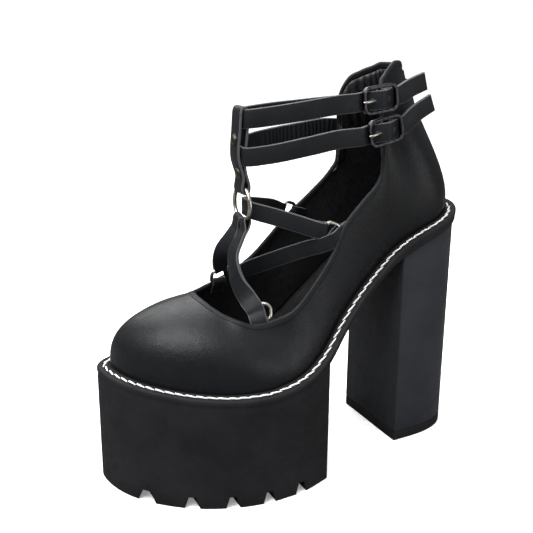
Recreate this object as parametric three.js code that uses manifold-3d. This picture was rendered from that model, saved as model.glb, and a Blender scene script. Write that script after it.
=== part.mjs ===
// Left platform shoe: lugged platform with a block heel, closed toe and back, and a ringed strap harness.
// Millimetres. While the pieces are worked out, x runs to the outer side, s runs back from the tip of the toe
// and z runs up from the floor. The whole group is then moved so that its origin is at the middle of its base.

import * as THREE from 'three';
import { mergeVertices } from 'three/addons/utils/BufferGeometryUtils.js';
import Module from 'manifold-3d';

const wasm = await Module();
wasm.setup();

// Driving dimensions
const LENGTH = 216;
const MIDDLE = { x: 4, s: LENGTH / 2 };
const GAP = 0.3;
const LOOP_POINTS = 48;

// Plan of the sole's edge: where each side would run, before the toe and the seat are rounded off
const PLAN = [
  { s: 0, outer: 48.8, inner: -40.8 },
  { s: 60, outer: 48.8, inner: -40.8 },
  { s: 80, outer: 48.5, inner: -39.3 },
  { s: 92, outer: 47.9, inner: -37.2 },
  { s: 108, outer: 43.4, inner: -33.4 },
  { s: 130, outer: 36, inner: -27.2 },
  { s: 150, outer: 31, inner: -27.2 },
  { s: 165, outer: 28.5, inner: -27.4 },
  { s: LENGTH, outer: 28.5, inner: -27.5 },
];
const TOE = { x: -15.2, outerReach: 79, outerPower: 1.83, innerReach: 59.3, innerPower: 2.02 };
const SEAT = { x: 0.5, reach: 27, power: 2.2 };

// Height of the welt's top, along its stitches
const LEVEL = [
  { s: 0, z: 66.2 },
  { s: 20, z: 64.2 },
  { s: 40, z: 62.2 },
  { s: 60, z: 61.1 },
  { s: 72, z: 61.2 },
  { s: 82, z: 62.3 },
  { s: 92, z: 64.6 },
  { s: 102, z: 68.3 },
  { s: 112, z: 75.6 },
  { s: 122, z: 86.8 },
  { s: 135, z: 99 },
  { s: 150, z: 110.8 },
  { s: 170, z: 124.2 },
  { s: 190, z: 132.8 },
  { s: LENGTH, z: 142.5 },
];

const WELT = { thick: 2, width: 9.6, round: 1.2 };
const PLATFORM = { rear: 110.2, flare: 1.2, flareDepth: 13, spring: 0.5, springLength: 9 };
const WAIST = { thick: 5.4, seatThick: 6.4, seatStart: 158, seatFull: 170 };
const LUGS = { first: 14.1, pitch: 19.2, count: 5, mouth: 7, roof: 3.4, depth: 6.4 };
const HEEL = { breast: 167.3, back: 214.9, half: 26.7, straight: 9, power: 2.6, tip: 6 };
const INSOLE = { inset: 10.4, thick: 3.2, above: 1.4, points: 24 };

// Upper: one row for each section round the shoe. foot is where the section leaves the welt, x, s and z are
// its point on the opening, lean and rise carry it outward and up from the welt, and dx, ds, dz are the way
// it arrives at the opening.
const UPPER = { inset: 7.5, wall: 1.8, steps: 7 };
const TOE_ROW = { foot: 0, x: -8, s: 53.6, z: 101.2, lean: 3.2, rise: 25, dx: 2, ds: 26, dz: 4 };
const BACK_ROW = { foot: LENGTH, x: 0, s: 177, z: 221, lean: 7, rise: 20, dx: 0, ds: -9, dz: 30 };
const OUTER_ROWS = [
  { foot: 10, x: -3, s: 53.3, z: 101.2, lean: 2.8, rise: 24, dx: -3, ds: 26, dz: 4 },
  { foot: 30, x: 5, s: 54.6, z: 100.2, lean: 2, rise: 22, dx: -12, ds: 20, dz: 6 },
  { foot: 50, x: 12, s: 57, z: 98.3, lean: 1.5, rise: 20, dx: -15, ds: 11, dz: 8 },
  { foot: 64, x: 18, s: 60.5, z: 96.3, lean: 1.5, rise: 18, dx: -13, ds: 3, dz: 10 },
  { foot: 76, x: 24, s: 66, z: 94.2, lean: 1, rise: 15, dx: -9, ds: -1, dz: 10 },
  { foot: 86, x: 27.5, s: 73, z: 92.2, lean: 1, rise: 12, dx: -6, ds: -4, dz: 10 },
  { foot: 96, x: 30, s: 83, z: 93.6, lean: 0.5, rise: 11, dx: -4, ds: -4, dz: 10 },
  { foot: 106, x: 32, s: 94, z: 98, lean: 0.5, rise: 11, dx: -2, ds: -4, dz: 10 },
  { foot: 118, x: 31, s: 107, z: 110.6, lean: 0.5, rise: 12, dx: -1, ds: -4, dz: 11 },
  { foot: 130, x: 29, s: 119.5, z: 125.6, lean: 0.5, rise: 13, dx: 0, ds: -4, dz: 12 },
  { foot: 139, x: 28, s: 126.5, z: 139.5, lean: 1, rise: 14, dx: 0, ds: -4, dz: 13 },
  { foot: 148, x: 27, s: 138.4, z: 151.3, lean: 1, rise: 15, dx: 0, ds: -3, dz: 14 },
  { foot: 156, x: 26.5, s: 148, z: 161, lean: 1.5, rise: 16, dx: -0.5, ds: -2, dz: 15 },
  { foot: 162, x: 26.2, s: 151.2, z: 171, lean: 2, rise: 17, dx: -1, ds: -2, dz: 17 },
  { foot: 169, x: 25, s: 151.4, z: 186, lean: 3, rise: 19, dx: -2, ds: -2, dz: 20 },
  { foot: 176, x: 22, s: 151.6, z: 202, lean: 3.5, rise: 22, dx: -5, ds: -2, dz: 24 },
  { foot: 181, x: 18, s: 153.2, z: 213, lean: 4, rise: 24, dx: -6, ds: -3, dz: 26 },
  { foot: 187, x: 14.5, s: 157.8, z: 217.4, lean: 4, rise: 24, dx: -6, ds: -3, dz: 28 },
  { foot: 194, x: 12, s: 163, z: 221.5, lean: 5, rise: 24, dx: -5, ds: -5, dz: 28 },
  { foot: 203, x: 9, s: 169, z: 224.3, lean: 6, rise: 22, dx: -3, ds: -7, dz: 29 },
  { foot: 211, x: 5.5, s: 174.5, z: 224, lean: 7, rise: 20, dx: -1, ds: -9, dz: 30 },
];
const INNER_ROWS = [
  { foot: 8, x: -12, s: 54.4, z: 100.8, lean: 3.4, rise: 24, dx: 6, ds: 25, dz: 4 },
  { foot: 28, x: -17.5, s: 55.8, z: 99.6, lean: 3, rise: 22, dx: 12, ds: 18, dz: 6 },
  { foot: 48, x: -20.5, s: 59, z: 99.1, lean: 2, rise: 20, dx: 11, ds: 6, dz: 9 },
  { foot: 66, x: -24, s: 66.5, z: 99.7, lean: 2, rise: 18, dx: 8, ds: 1, dz: 11 },
  { foot: 80, x: -26.5, s: 75, z: 101.2, lean: 1.5, rise: 16, dx: 5, ds: -1, dz: 12 },
  { foot: 93, x: -28, s: 87, z: 105.4, lean: 1, rise: 15, dx: 2, ds: -2, dz: 13 },
  { foot: 105, x: -28.2, s: 98, z: 112, lean: 1, rise: 15, dx: 1, ds: -3, dz: 13 },
  { foot: 117, x: -27.6, s: 108.5, z: 122, lean: 1, rise: 15, dx: 0, ds: -3, dz: 13 },
  { foot: 129, x: -26.6, s: 120.5, z: 134.6, lean: 1, rise: 15, dx: 0, ds: -3, dz: 13 },
  { foot: 140, x: -25.7, s: 133.5, z: 145.3, lean: 1, rise: 15, dx: 0, ds: -3, dz: 14 },
  { foot: 150, x: -24.8, s: 147, z: 158, lean: 1.5, rise: 16, dx: 0, ds: -2, dz: 15 },
  { foot: 157, x: -24.2, s: 152.2, z: 167, lean: 2, rise: 17, dx: 1, ds: -2, dz: 17 },
  { foot: 166, x: -22.8, s: 151.8, z: 184, lean: 3, rise: 19, dx: 2, ds: -2, dz: 20 },
  { foot: 174, x: -21.3, s: 150.6, z: 202, lean: 3.5, rise: 22, dx: 4, ds: -2, dz: 24 },
  { foot: 181, x: -17.5, s: 154, z: 213.6, lean: 4, rise: 24, dx: 6, ds: -3, dz: 26 },
  { foot: 188, x: -14.2, s: 160.3, z: 218, lean: 4, rise: 24, dx: 6, ds: -3, dz: 28 },
  { foot: 196, x: -11, s: 166, z: 220.6, lean: 5, rise: 24, dx: 5, ds: -5, dz: 28 },
  { foot: 205, x: -8, s: 171, z: 222.9, lean: 6, rise: 22, dx: 3, ds: -7, dz: 29 },
  { foot: 211.5, x: -5, s: 175, z: 222.9, lean: 7, rise: 20, dx: 1, ds: -9, dz: 30 },
];

// Harness straps. Each row is a point of the centre line. ax, as, az are the way across the strap, upright
// unless given, and width and thick are given where they differ from the strap's own.
const STRAP = { width: 10, thick: 2 };
const UPPER_ANKLE = [
  { x: -20.4, s: 161, z: 200.4, ax: 0.25 },
  { x: -22.5, s: 153.5, z: 199.6, ax: 0.18 },
  { x: -23.8, s: 143, z: 199 },
  { x: -24, s: 127, z: 198 },
  { x: -21.4, s: 108, z: 197.2 },
  { x: -15.6, s: 92, z: 196.6 },
  { x: -8.8, s: 80.3, z: 196.2 },
  { x: -3, s: 79, z: 196.1 },
  { x: 2.8, s: 80.3, z: 196.5 },
  { x: 9.3, s: 91, z: 198.2 },
  { x: 18, s: 106, z: 201.2 },
  { x: 24, s: 121.5, z: 204 },
];
const LOWER_ANKLE = [
  { x: -23.3, s: 161, z: 186.2, ax: 0.16 },
  { x: -24.3, s: 153.5, z: 185.9, ax: 0.08 },
  { x: -24.4, s: 143, z: 185.4 },
  { x: -24.2, s: 127, z: 183.6 },
  { x: -21.4, s: 107, z: 181.8 },
  { x: -15.4, s: 90.4, z: 180.6 },
  { x: -8.8, s: 78.9, z: 179.2 },
  { x: -3, s: 77.7, z: 177.8 },
  { x: 2.8, s: 78.9, z: 176.8 },
  { x: 9.6, s: 90.6, z: 178.4 },
  { x: 18.4, s: 106.4, z: 182.4 },
  { x: 24.2, s: 122.5, z: 186.1 },
];
const UPPER_TAIL = [
  { x: 26, s: 166, z: 211.6 },
  { x: 25, s: 176.4, z: 215 },
];
const LOWER_TAIL = [
  { x: 26.2, s: 170, z: 197.6 },
  { x: 25, s: 182, z: 203.3 },
];
const INSTEP = [
  { x: 24.2, s: 115.6, z: 138.3, ax: 0.1, as: 0.2, width: 8, thick: 4.4 },
  { x: 23.2, s: 112.4, z: 138.2, ax: 0.1, as: 0.2 },
  { x: 16.4, s: 102.6, z: 141.6, ax: 0.1, as: 0.2 },
  { x: 9, s: 92.8, z: 144.8, as: 0.15 },
  { x: 2.4, s: 84.8, z: 147.2 },
  { x: -3, s: 83, z: 147.8 },
  { x: -8.4, s: 86.4, z: 147.8 },
  { x: -14, s: 95, z: 146, as: 0.15 },
  { x: -19.8, s: 106, z: 142.8, as: 0.25 },
  { x: -22.6, s: 112.6, z: 140.9, as: 0.3 },
  { x: -23.2, s: 116.6, z: 139.6, as: 0.3, width: 7.6, thick: 4.4 },
];
const CROSSING = [
  { x: 24, s: 132, z: 138, ax: -0.1, as: 0.1 },
  { x: 25.2, s: 126.4, z: 136.2, ax: -0.1, as: 0.1, thick: 4.4 },
  { x: 25.6, s: 123, z: 135, ax: -0.1, as: 0.1, thick: 4.4 },
  { x: 25.2, s: 118.4, z: 132.8, ax: -0.1, as: 0.1 },
  { x: 17.4, s: 111.4, z: 127.4 },
  { x: 3, s: 100, z: 118.8 },
  { x: -8.6, s: 91.6, z: 112 },
  { x: -18.4, s: 83.6, z: 107, ax: 0.3, width: 7 },
  { x: -21.6, s: 80, z: 105.9, ax: 0.4, width: 5.4, thick: 4.4 },
  { x: -23.2, s: 78, z: 105.3, ax: 0.4, width: 5.4, thick: 4 },
];
const LOWER_OUTER = [
  { x: 0.4, s: 80, z: 143.8, ax: 0.92, as: 0, az: 0.38, width: 6.4, thick: 3 },
  { x: 1.3, s: 80, z: 141.4, ax: 0.92, as: 0, az: 0.38, width: 6.4, thick: 4.8 },
  { x: 2, s: 79, z: 137.4, ax: 0.95, as: 0, az: 0.3, width: 7, thick: 3 },
  { x: 1.9, s: 75.4, z: 131.6, ax: 0.97, as: 0.1, az: 0.2, width: 9 },
  { x: 3, s: 73, z: 125, ax: 0.94, as: 0.3, az: 0.1 },
  { x: 6.4, s: 72.6, z: 117.4, ax: 0.86, as: 0.5, az: 0.1 },
  { x: 11.4, s: 74, z: 110, ax: 0.7, as: 0.7, az: 0.1 },
  { x: 17, s: 77, z: 104.8, ax: 0.5, as: 0.86, az: 0.05, width: 9.4 },
  { x: 20.8, s: 78.9, z: 102.3, ax: 0.45, as: 0.89, az: 0.02, width: 8.4, thick: 4.4 },
  { x: 22.6, s: 79.6, z: 101.2, ax: 0.45, as: 0.89, az: 0.02, width: 8.4, thick: 3.6 },
];
const LOWER_INNER = [
  { x: -6.4, s: 80, z: 143.8, ax: 0.92, as: 0, az: -0.38, width: 6.4, thick: 3 },
  { x: -7.3, s: 80, z: 141.4, ax: 0.92, as: 0, az: -0.38, width: 6.4, thick: 4.8 },
  { x: -8.4, s: 79, z: 137.4, ax: 0.95, as: 0, az: -0.3, width: 7, thick: 3 },
  { x: -9.6, s: 75.6, z: 130.4, ax: 0.9, as: 0.1, az: -0.4, width: 9 },
  { x: -12.6, s: 72.8, z: 122, ax: 0.6, as: 0.7, az: -0.3 },
  { x: -16, s: 72.6, z: 115, ax: 0.1, as: 0.98, az: -0.1 },
  { x: -19, s: 73.4, z: 110.6, ax: -0.12, as: 0.98, az: 0.12, width: 7.2, thick: 4.4 },
  { x: -20.4, s: 73.6, z: 108.4, ax: -0.12, as: 0.98, az: 0.12, width: 7.2, thick: 4 },
];

// Rings: middle of the loop, the way of its straight bar (u), the way towards what pulls on it (v)
const O_RING = { centre: [-3, 80, 150.5], u: [1, 0, 0], v: [0, 0, 1], halfU: 9.6, halfV: 9.6, corner: 9.6, wire: 1.15 };
const D_RING = { halfU: 5.1, halfV: 4.4, corner: 2.6, wire: 1 };
const D_RINGS = {
  upper_outer: { centre: [24.9, 119.2, 136.6], u: [0.05, 0.4, 0.92], v: [-0.2, -0.9, 0.4] },
  lower_outer: { centre: [23, 78.5, 97.4], u: [0.45, 0.89, 0.02], v: [-0.35, 0.15, 0.92] },
  upper_inner: { centre: [-22.9, 119.3, 138.2], u: [0, 0.3, 0.95], v: [0.05, -0.95, 0.3] },
  lower_inner: { centre: [-21.2, 74, 105.6], u: [-0.12, 0.98, 0.12], v: [0.35, 0, 0.94] },
};
const RING_TABS = {
  lower_outer: [
    { x: 26.4, s: 77.4, z: 86.6, ax: 0.4, as: 0.9, az: 0 },
    { x: 25.7, s: 77.6, z: 90.6, ax: 0.45, as: 0.89, az: 0, thick: 3.4 },
    { x: 24.2, s: 78, z: 95.2, ax: 0.45, as: 0.89, az: 0, thick: 4.4 },
  ],
  upper_inner: [
    { x: -23.4, s: 130, z: 134.8, as: 0.3, az: 0.95 },
    { x: -23.1, s: 126.6, z: 135.9, as: 0.3, az: 0.95, thick: 3.2 },
    { x: -23, s: 122.6, z: 137.2, as: 0.3, az: 0.95, thick: 4.4 },
  ],
  lower_inner: [
    { x: -25.2, s: 74, z: 94.6, as: 1, az: 0 },
    { x: -24.2, s: 74, z: 98.2, as: 1, az: 0, thick: 3.2 },
    { x: -22.3, s: 74, z: 102.6, as: 1, az: 0, thick: 4.4 },
  ],
};
const RING_TAB = { width: 7.6, thick: 2 };

// T-bar: front and back of the doubled strap at each height
const T_BAR = { x: -3, width: 10 };
const T_BAR_ROWS = [
  { z: 203.3, front: 78.3, back: 79.8 },
  { z: 202.8, front: 77.2, back: 81 },
  { z: 201.4, front: 76.5, back: 81.5 },
  { z: 197, front: 76.2, back: 81.8 },
  { z: 192, front: 75.9, back: 81.8 },
  { z: 187, front: 75.5, back: 81.4 },
  { z: 182, front: 75, back: 80.8 },
  { z: 178, front: 74.9, back: 80.5 },
  { z: 174, front: 75.3, back: 80.3 },
  { z: 170.5, front: 76.5, back: 80.2 },
  { z: 167, front: 77.7, back: 81 },
  { z: 164.5, front: 78.3, back: 81.8 },
  { z: 162, front: 77.4, back: 82.7 },
  { z: 160, front: 77, back: 83 },
  { z: 157.6, front: 77.2, back: 82.8 },
  { z: 156, front: 78, back: 82 },
  { z: 155.5, front: 79.2, back: 80.8 },
];
const RIVET = { radius: 3.1, height: 1.3, heights: [185.4, 167.2] };

// Buckles: middle of the frame, its pitch above level, and its bars
const BUCKLE = { halfU: 10.1, halfV: 6.5, corner: 3.4, wire: 1.1, bar: 0.8, barDrop: 0.9, prong: 0.7 };
const BUCKLES = {
  upper: { centre: [28, 145.6, 206.5], pitch: 7 },
  lower: { centre: [28.6, 149.6, 189.8], pitch: 11 },
};
const BUCKLE_TABS = {
  upper: [
    { x: 17.8, s: 162.5, z: 206.6, ax: -0.22 },
    { x: 20.4, s: 157.5, z: 206.8, ax: -0.2 },
  ],
  lower: [
    { x: 22.2, s: 166, z: 191, ax: -0.18 },
    { x: 24.2, s: 159, z: 190.4, ax: -0.12 },
  ],
};
const BUCKLE_TAB = { width: 9.6, thick: 1.5 };

// Zip slider and its pull, on the outside of the back: height of the pivot, and sizes
const ZIP = { seat: 211, length: 8, width: 7, thick: 1.4, clearance: 0.4, post: 1.3, bridge: 0.8, bridgeWidth: 1.8 };
const PULL = { length: 14, width: 5.4, thick: 0.9, top: 0.6, neck: 3.4, eyeWidth: 2.6 };

// A smooth curve through a table's column, with slopes held down so that it never swings past a row
function through(rows, by, key) {
  const at = rows.map((row) => row[by]);
  const value = rows.map((row) => row[key]);
  const chord = value.slice(1).map((v, i) => (v - value[i]) / (at[i + 1] - at[i]));
  const slope = value.map((_, i) => {
    if (i === 0) return chord[0];
    if (i === value.length - 1) return chord[i - 1];
    const [before, after] = [chord[i - 1], chord[i]];
    if (before * after <= 0) return 0;
    const [left, right] = [at[i] - at[i - 1], at[i + 1] - at[i]];
    const mean = (before * right + after * left) / (left + right);
    return Math.sign(mean) * Math.min(Math.abs(mean), 3 * Math.min(Math.abs(before), Math.abs(after)));
  });
  return (x) => {
    let i = 0;
    while (i < at.length - 2 && x > at[i + 1]) i += 1;
    const h = at[i + 1] - at[i];
    const t = THREE.MathUtils.clamp((x - at[i]) / h, 0, 1);
    const [a, b] = [t * t * (3 - 2 * t), t * (1 - t)];
    return value[i] * (1 - a) + value[i + 1] * a + h * b * (slope[i] * (1 - t) - slope[i + 1] * t);
  };
}

const outerPlan = through(PLAN, 's', 'outer');
const innerPlan = through(PLAN, 's', 'inner');
const level = through(LEVEL, 's', 'z');

// Share of the full width that a rounded end leaves at a distance into its reach
function roundedEnd(distance, reach, power) {
  const q = THREE.MathUtils.clamp(1 - distance / reach, 0, 1);
  return (1 - q ** power) ** (1 / power);
}

// The sole's edge at s, on the outer side (+1) or the inner side (-1)
function edge(s, side) {
  const plan = side > 0 ? outerPlan(s) : innerPlan(s);
  const reach = side > 0 ? TOE.outerReach : TOE.innerReach;
  const power = side > 0 ? TOE.outerPower : TOE.innerPower;
  const front = TOE.x + (plan - TOE.x) * roundedEnd(s, reach, power);
  return SEAT.x + (front - SEAT.x) * roundedEnd(LENGTH - s, SEAT.reach, SEAT.power);
}

// A point of the sole's edge for an angle: 0 at the toe, PI at the back, negative on the inner side
function edgeAt(angle) {
  const s = (LENGTH / 2) * (1 - Math.cos(angle));
  return new THREE.Vector2(edge(s, angle < 0 ? -1 : 1), s);
}

// The same, moved inward square to the edge
function insetAt(angle, inset) {
  const step = 0.004;
  const along = edgeAt(angle + step).sub(edgeAt(angle - step)).normalize();
  return edgeAt(angle).add(new THREE.Vector2(-along.y, along.x).multiplyScalar(inset));
}

const angleOf = (s) => Math.acos(1 - (2 * s) / LENGTH);

// Angles round the whole loop; the last one of the outer side and the first of the inner share a station
function stations(count) {
  const outer = Array.from({ length: count }, (_, i) => (Math.PI * (i + 0.5)) / count);
  return [...outer, ...outer.map((angle) => -angle).reverse()];
}

// A closed skin over sections of equal point count. Ends are joined when closed, and are otherwise filled
// with strips that pair each point with its mirror in the list.
function skin(sections, closed = false) {
  const count = sections[0].length;
  const position = sections.flat().flatMap((p) => [p.x, p.y, p.z]);
  const index = [];
  const quad = (a, b, c, d) => index.push(a, b, c, a, c, d);
  const last = sections.length - (closed ? 0 : 1);
  for (let i = 0; i < last; i += 1) {
    const next = (i + 1) % sections.length;
    for (let j = 0; j < count; j += 1) {
      const k = (j + 1) % count;
      quad(i * count + j, i * count + k, next * count + k, next * count + j);
    }
  }
  if (!closed) {
    const top = (sections.length - 1) * count;
    for (let j = 0; j < count / 2 - 1; j += 1) {
      quad(j + 1, j, count - 1 - j, count - 2 - j);
      quad(top + j, top + j + 1, top + count - 2 - j, top + count - 1 - j);
    }
  }
  const geometry = new THREE.BufferGeometry();
  geometry.setAttribute('position', new THREE.Float32BufferAttribute(position, 3));
  geometry.setIndex(index);
  return facingOut(geometry);
}

// Turns the faces round if they enclose a negative volume
function facingOut(geometry) {
  const p = geometry.attributes.position;
  const index = geometry.index.array;
  const [a, b, c] = [new THREE.Vector3(), new THREE.Vector3(), new THREE.Vector3()];
  let volume = 0;
  for (let i = 0; i < index.length; i += 3) {
    a.fromBufferAttribute(p, index[i]);
    b.fromBufferAttribute(p, index[i + 1]);
    c.fromBufferAttribute(p, index[i + 2]);
    volume += a.dot(b.cross(c));
  }
  if (volume < 0) {
    for (let i = 0; i < index.length; i += 3) {
      [index[i], index[i + 1]] = [index[i + 1], index[i]];
    }
  }
  geometry.computeVertexNormals();
  return geometry;
}

function toSolid(geometry) {
  const bare = geometry.clone();
  bare.deleteAttribute('normal');
  bare.deleteAttribute('uv');
  const merged = mergeVertices(bare, 1e-3);
  return new wasm.Manifold(new wasm.Mesh({
    numProp: 3,
    vertProperties: new Float32Array(merged.attributes.position.array),
    triVerts: new Uint32Array(merged.index.array),
  }));
}

function fromSolid(solid) {
  const { vertProperties, triVerts } = solid.getMesh();
  const geometry = new THREE.BufferGeometry();
  geometry.setAttribute('position', new THREE.Float32BufferAttribute(vertProperties, 3));
  geometry.setIndex(Array.from(triVerts));
  geometry.computeVertexNormals();
  return geometry;
}

// Materials
const finish = (color, roughness, metalness = 0) => new THREE.MeshStandardMaterial({ color, roughness, metalness });
const LEATHER = finish(0x18191c, 0.45);
const LINING = finish(0x141416, 0.7);
const RUBBER = finish(0x222224, 0.75);
const HEEL_COVER = finish(0x25272a, 0.5);
const GUNMETAL = finish(0x4a4a4e, 0.3, 1);
const NICKEL = finish(0x9a958c, 0.25, 1);

const shoe = new THREE.Group();
shoe.position.set(-MIDDLE.x, -MIDDLE.s, 0);

function add(name, geometry, material) {
  const mesh = new THREE.Mesh(geometry, material);
  mesh.name = name;
  shoe.add(mesh);
  return mesh;
}

// A loop of points round the sole's edge at an inset, at the height that height(s) gives
function loop(inset, height, angles = stations(LOOP_POINTS)) {
  return angles.map((angle) => {
    const p = insetAt(angle, inset);
    return new THREE.Vector3(p.x, p.y, height(p.y));
  });
}

// Sole unit
const seatShare = (s) => THREE.MathUtils.smoothstep(s, WAIST.seatStart, WAIST.seatFull);
const underside = (s) => level(s) - THREE.MathUtils.lerp(WAIST.thick, WAIST.seatThick, seatShare(s));
const soleTop = (s) => level(s) - WELT.thick - GAP;

function soleSlab() {
  return skin([
    loop(1.4, underside),
    loop(0.3, (s) => underside(s) + 0.9),
    loop(0.1, (s) => soleTop(s) - 0.6),
    loop(0.4, soleTop),
  ]);
}

// The block under the forefoot, as far back as its upright rear face
function platformBlock() {
  const rear = angleOf(PLATFORM.rear);
  const outer = stations(LOOP_POINTS).slice(0, LOOP_POINTS).filter((angle) => angle < rear - 0.02);
  const angles = [...outer, rear, -rear, ...outer.map((angle) => -angle).reverse()];
  const spring = (s) => PLATFORM.spring * Math.max(0, 1 - s / PLATFORM.springLength) ** 2;
  const inside = (s) => (underside(s) + soleTop(s)) / 2;
  const section = (inset, height) => loop(inset, height, angles);
  return skin([
    section(PLATFORM.flare + 0.3, spring),
    section(PLATFORM.flare, (s) => spring(s) + 0.8),
    section(PLATFORM.flare, (s) => level(s) - PLATFORM.flareDepth),
    section(PLATFORM.flare / 3, (s) => level(s) - PLATFORM.flareDepth / 2),
    section(0.3, inside),
  ]);
}

// One channel between two lugs, narrower at its roof, right across the block
function channel(s) {
  const shape = new THREE.Shape([
    new THREE.Vector2(-LUGS.mouth / 2 - 1, -2),
    new THREE.Vector2(LUGS.mouth / 2 + 1, -2),
    new THREE.Vector2(LUGS.mouth / 2, 0),
    new THREE.Vector2(LUGS.roof / 2, LUGS.depth),
    new THREE.Vector2(-LUGS.roof / 2, LUGS.depth),
    new THREE.Vector2(-LUGS.mouth / 2, 0),
  ]);
  return acrossShoe(shape, 120, 0).translate(0, s, 0);
}

function soleUnit() {
  let solid = toSolid(soleSlab()).add(toSolid(platformBlock()));
  for (let i = 0; i < LUGS.count; i += 1) {
    solid = solid.subtract(toSolid(channel(LUGS.first + i * LUGS.pitch)));
  }
  return fromSolid(solid);
}

// Welt: a flat strip with a rounded outer edge, round the whole shoe
function welt() {
  const profile = [
    [0.2, -WELT.thick],
    [0, -WELT.round * 0.6],
    [WELT.round, 0],
    [WELT.width, 0],
    [WELT.width, -WELT.thick],
  ];
  const sections = stations(LOOP_POINTS).map((angle) => profile.map(([inset, drop]) => {
    const p = insetAt(angle, inset);
    return new THREE.Vector3(p.x, p.y, level(p.y) + drop);
  }));
  return skin(sections, true);
}

function insole() {
  const bottom = (s) => level(s) + INSOLE.above - INSOLE.thick;
  const top = (s) => level(s) + INSOLE.above;
  const angles = stations(INSOLE.points);
  return skin([
    loop(INSOLE.inset, bottom, angles),
    loop(INSOLE.inset, (s) => top(s) - 0.8, angles),
    loop(INSOLE.inset + 0.8, top, angles),
  ]);
}

// The heel's section: a flat breast, short straight sides and a rounded back
function heelLoop(inset, height) {
  const count = 14;
  const depth = HEEL.back - HEEL.breast - HEEL.straight;
  const half = [];
  for (let i = 0; i <= count; i += 1) {
    const turn = (Math.PI / 2) * (i / count);
    const across = Math.cos(turn) ** (2 / HEEL.power);
    const back = Math.sin(turn) ** (2 / HEEL.power);
    half.push([across * (HEEL.half - inset), HEEL.breast + HEEL.straight + back * (depth - inset)]);
  }
  half.unshift([HEEL.half - inset, HEEL.breast + inset]);
  const mirrored = half.slice(0, -1).map(([x, s]) => [-x, s]).reverse();
  return [...half, ...mirrored].map(([x, s]) => new THREE.Vector3(SEAT.x + x, s, height(s)));
}

function heelBlock() {
  return skin(evenLoops([heelLoop(0, () => HEEL.tip + GAP), heelLoop(0, (s) => underside(s) - GAP)]));
}

function heelTip() {
  return skin(evenLoops([
    heelLoop(0.5, () => 0),
    heelLoop(0, () => 0.5),
    heelLoop(0, () => HEEL.tip),
  ]));
}

// Doubles the point at the middle of each loop's list, so that every point has a mirror
function evenLoops(sections) {
  return sections.map((section) => {
    const middle = (section.length - 1) / 2;
    return [...section.slice(0, middle + 1), section[middle].clone(), ...section.slice(middle + 1)];
  });
}

// Upper: tracks for each column, round the whole loop
const KEYS = ['x', 's', 'z', 'lean', 'rise', 'dx', 'ds', 'dz'];
const upperTracks = (() => {
  const rows = [
    { ...BACK_ROW, angle: -Math.PI },
    ...INNER_ROWS.map((row) => ({ ...row, angle: -angleOf(row.foot) })).reverse(),
    { ...TOE_ROW, angle: 0 },
    ...OUTER_ROWS.map((row) => ({ ...row, angle: angleOf(row.foot) })),
    { ...BACK_ROW, angle: Math.PI },
  ];
  return Object.fromEntries(KEYS.map((key) => [key, through(rows, 'angle', key)]));
})();

// A point of the upper's outer face: angle round the shoe, rise from 0 at the welt to 1 at the opening
function upperPoint(angle, rise) {
  const row = Object.fromEntries(KEYS.map((key) => [key, upperTracks[key](angle)]));
  const foot = insetAt(angle, UPPER.inset);
  const out = insetAt(angle, UPPER.inset - row.lean);
  const start = new THREE.Vector3(foot.x, foot.y, level(foot.y) + GAP);
  const end = new THREE.Vector3(row.x, row.s, row.z);
  const curve = new THREE.CubicBezierCurve3(
    start,
    new THREE.Vector3(out.x, out.y, start.z + row.rise),
    end.clone().sub(new THREE.Vector3(row.dx, row.ds, row.dz)),
    end,
  );
  return curve.getPoint(rise);
}

// The way that the upper's outer face looks at that point
function upperNormal(angle, rise) {
  const step = 0.01;
  const low = Math.max(rise - step, 0);
  const high = Math.min(rise + step, 1);
  const round = upperPoint(angle + step, rise).sub(upperPoint(angle - step, rise));
  const up = upperPoint(angle, high).sub(upperPoint(angle, low));
  return round.cross(up).normalize();
}

// The upper's wall. grow makes it thicker on both faces, as a cutter for what is seated on it.
function upper(grow = 0) {
  const sections = stations(LOOP_POINTS).map((angle) => {
    const outside = [];
    const inside = [];
    for (let i = 0; i <= UPPER.steps; i += 1) {
      const rise = i / UPPER.steps;
      const p = upperPoint(angle, rise);
      const normal = upperNormal(angle, rise);
      const inner = p.clone().addScaledVector(normal, -UPPER.wall - grow);
      if (i === 0) {
        const base = insetAt(angle, UPPER.inset + UPPER.wall + grow);
        inner.set(base.x, base.y, level(base.y) + GAP - grow);
      }
      if (i === UPPER.steps) {
        const up = upperPoint(angle, 1).sub(upperPoint(angle, 0.98)).normalize();
        p.addScaledVector(up, grow);
        inner.addScaledVector(up, grow);
      }
      outside.push(p.addScaledVector(normal, grow));
      inside.push(inner);
    }
    return [...outside, ...inside.reverse()];
  });
  return skin(sections, true);
}

const vector = (list) => new THREE.Vector3(...list);
const pointOf = (row) => new THREE.Vector3(row.x, row.s, row.z);

// A strip along its rows, with a square section. grow makes it larger all round.
function ribbon(rows, { width, thick }, grow = 0, steps = 2) {
  const full = rows.map((row, i) => ({ ax: 0, as: 0, az: 1, width, thick, ...row, i }));
  const track = Object.fromEntries(['ax', 'as', 'az', 'width', 'thick'].map((key) => [key, through(full, 'i', key)]));
  const curve = new THREE.CatmullRomCurve3(rows.map(pointOf), false, 'centripetal');
  const count = (rows.length - 1) * steps;
  const sections = Array.from({ length: count + 1 }, (_, i) => {
    const at = i / steps;
    const along = curve.getTangent(i / count);
    const across = new THREE.Vector3(track.ax(at), track.as(at), track.az(at)).projectOnPlane(along).normalize();
    const face = across.clone().cross(along);
    const [w, t] = [track.width(at) / 2 + grow, track.thick(at) / 2 + grow];
    const end = (i === count) - (i === 0);
    const middle = curve.getPoint(i / count).addScaledVector(along, end * grow);
    return [[-w, -t], [w, -t], [w, t], [-w, t]].map(([a, f]) => (
      middle.clone().addScaledVector(across, a).addScaledVector(face, f)
    ));
  });
  return skin(sections);
}

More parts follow.
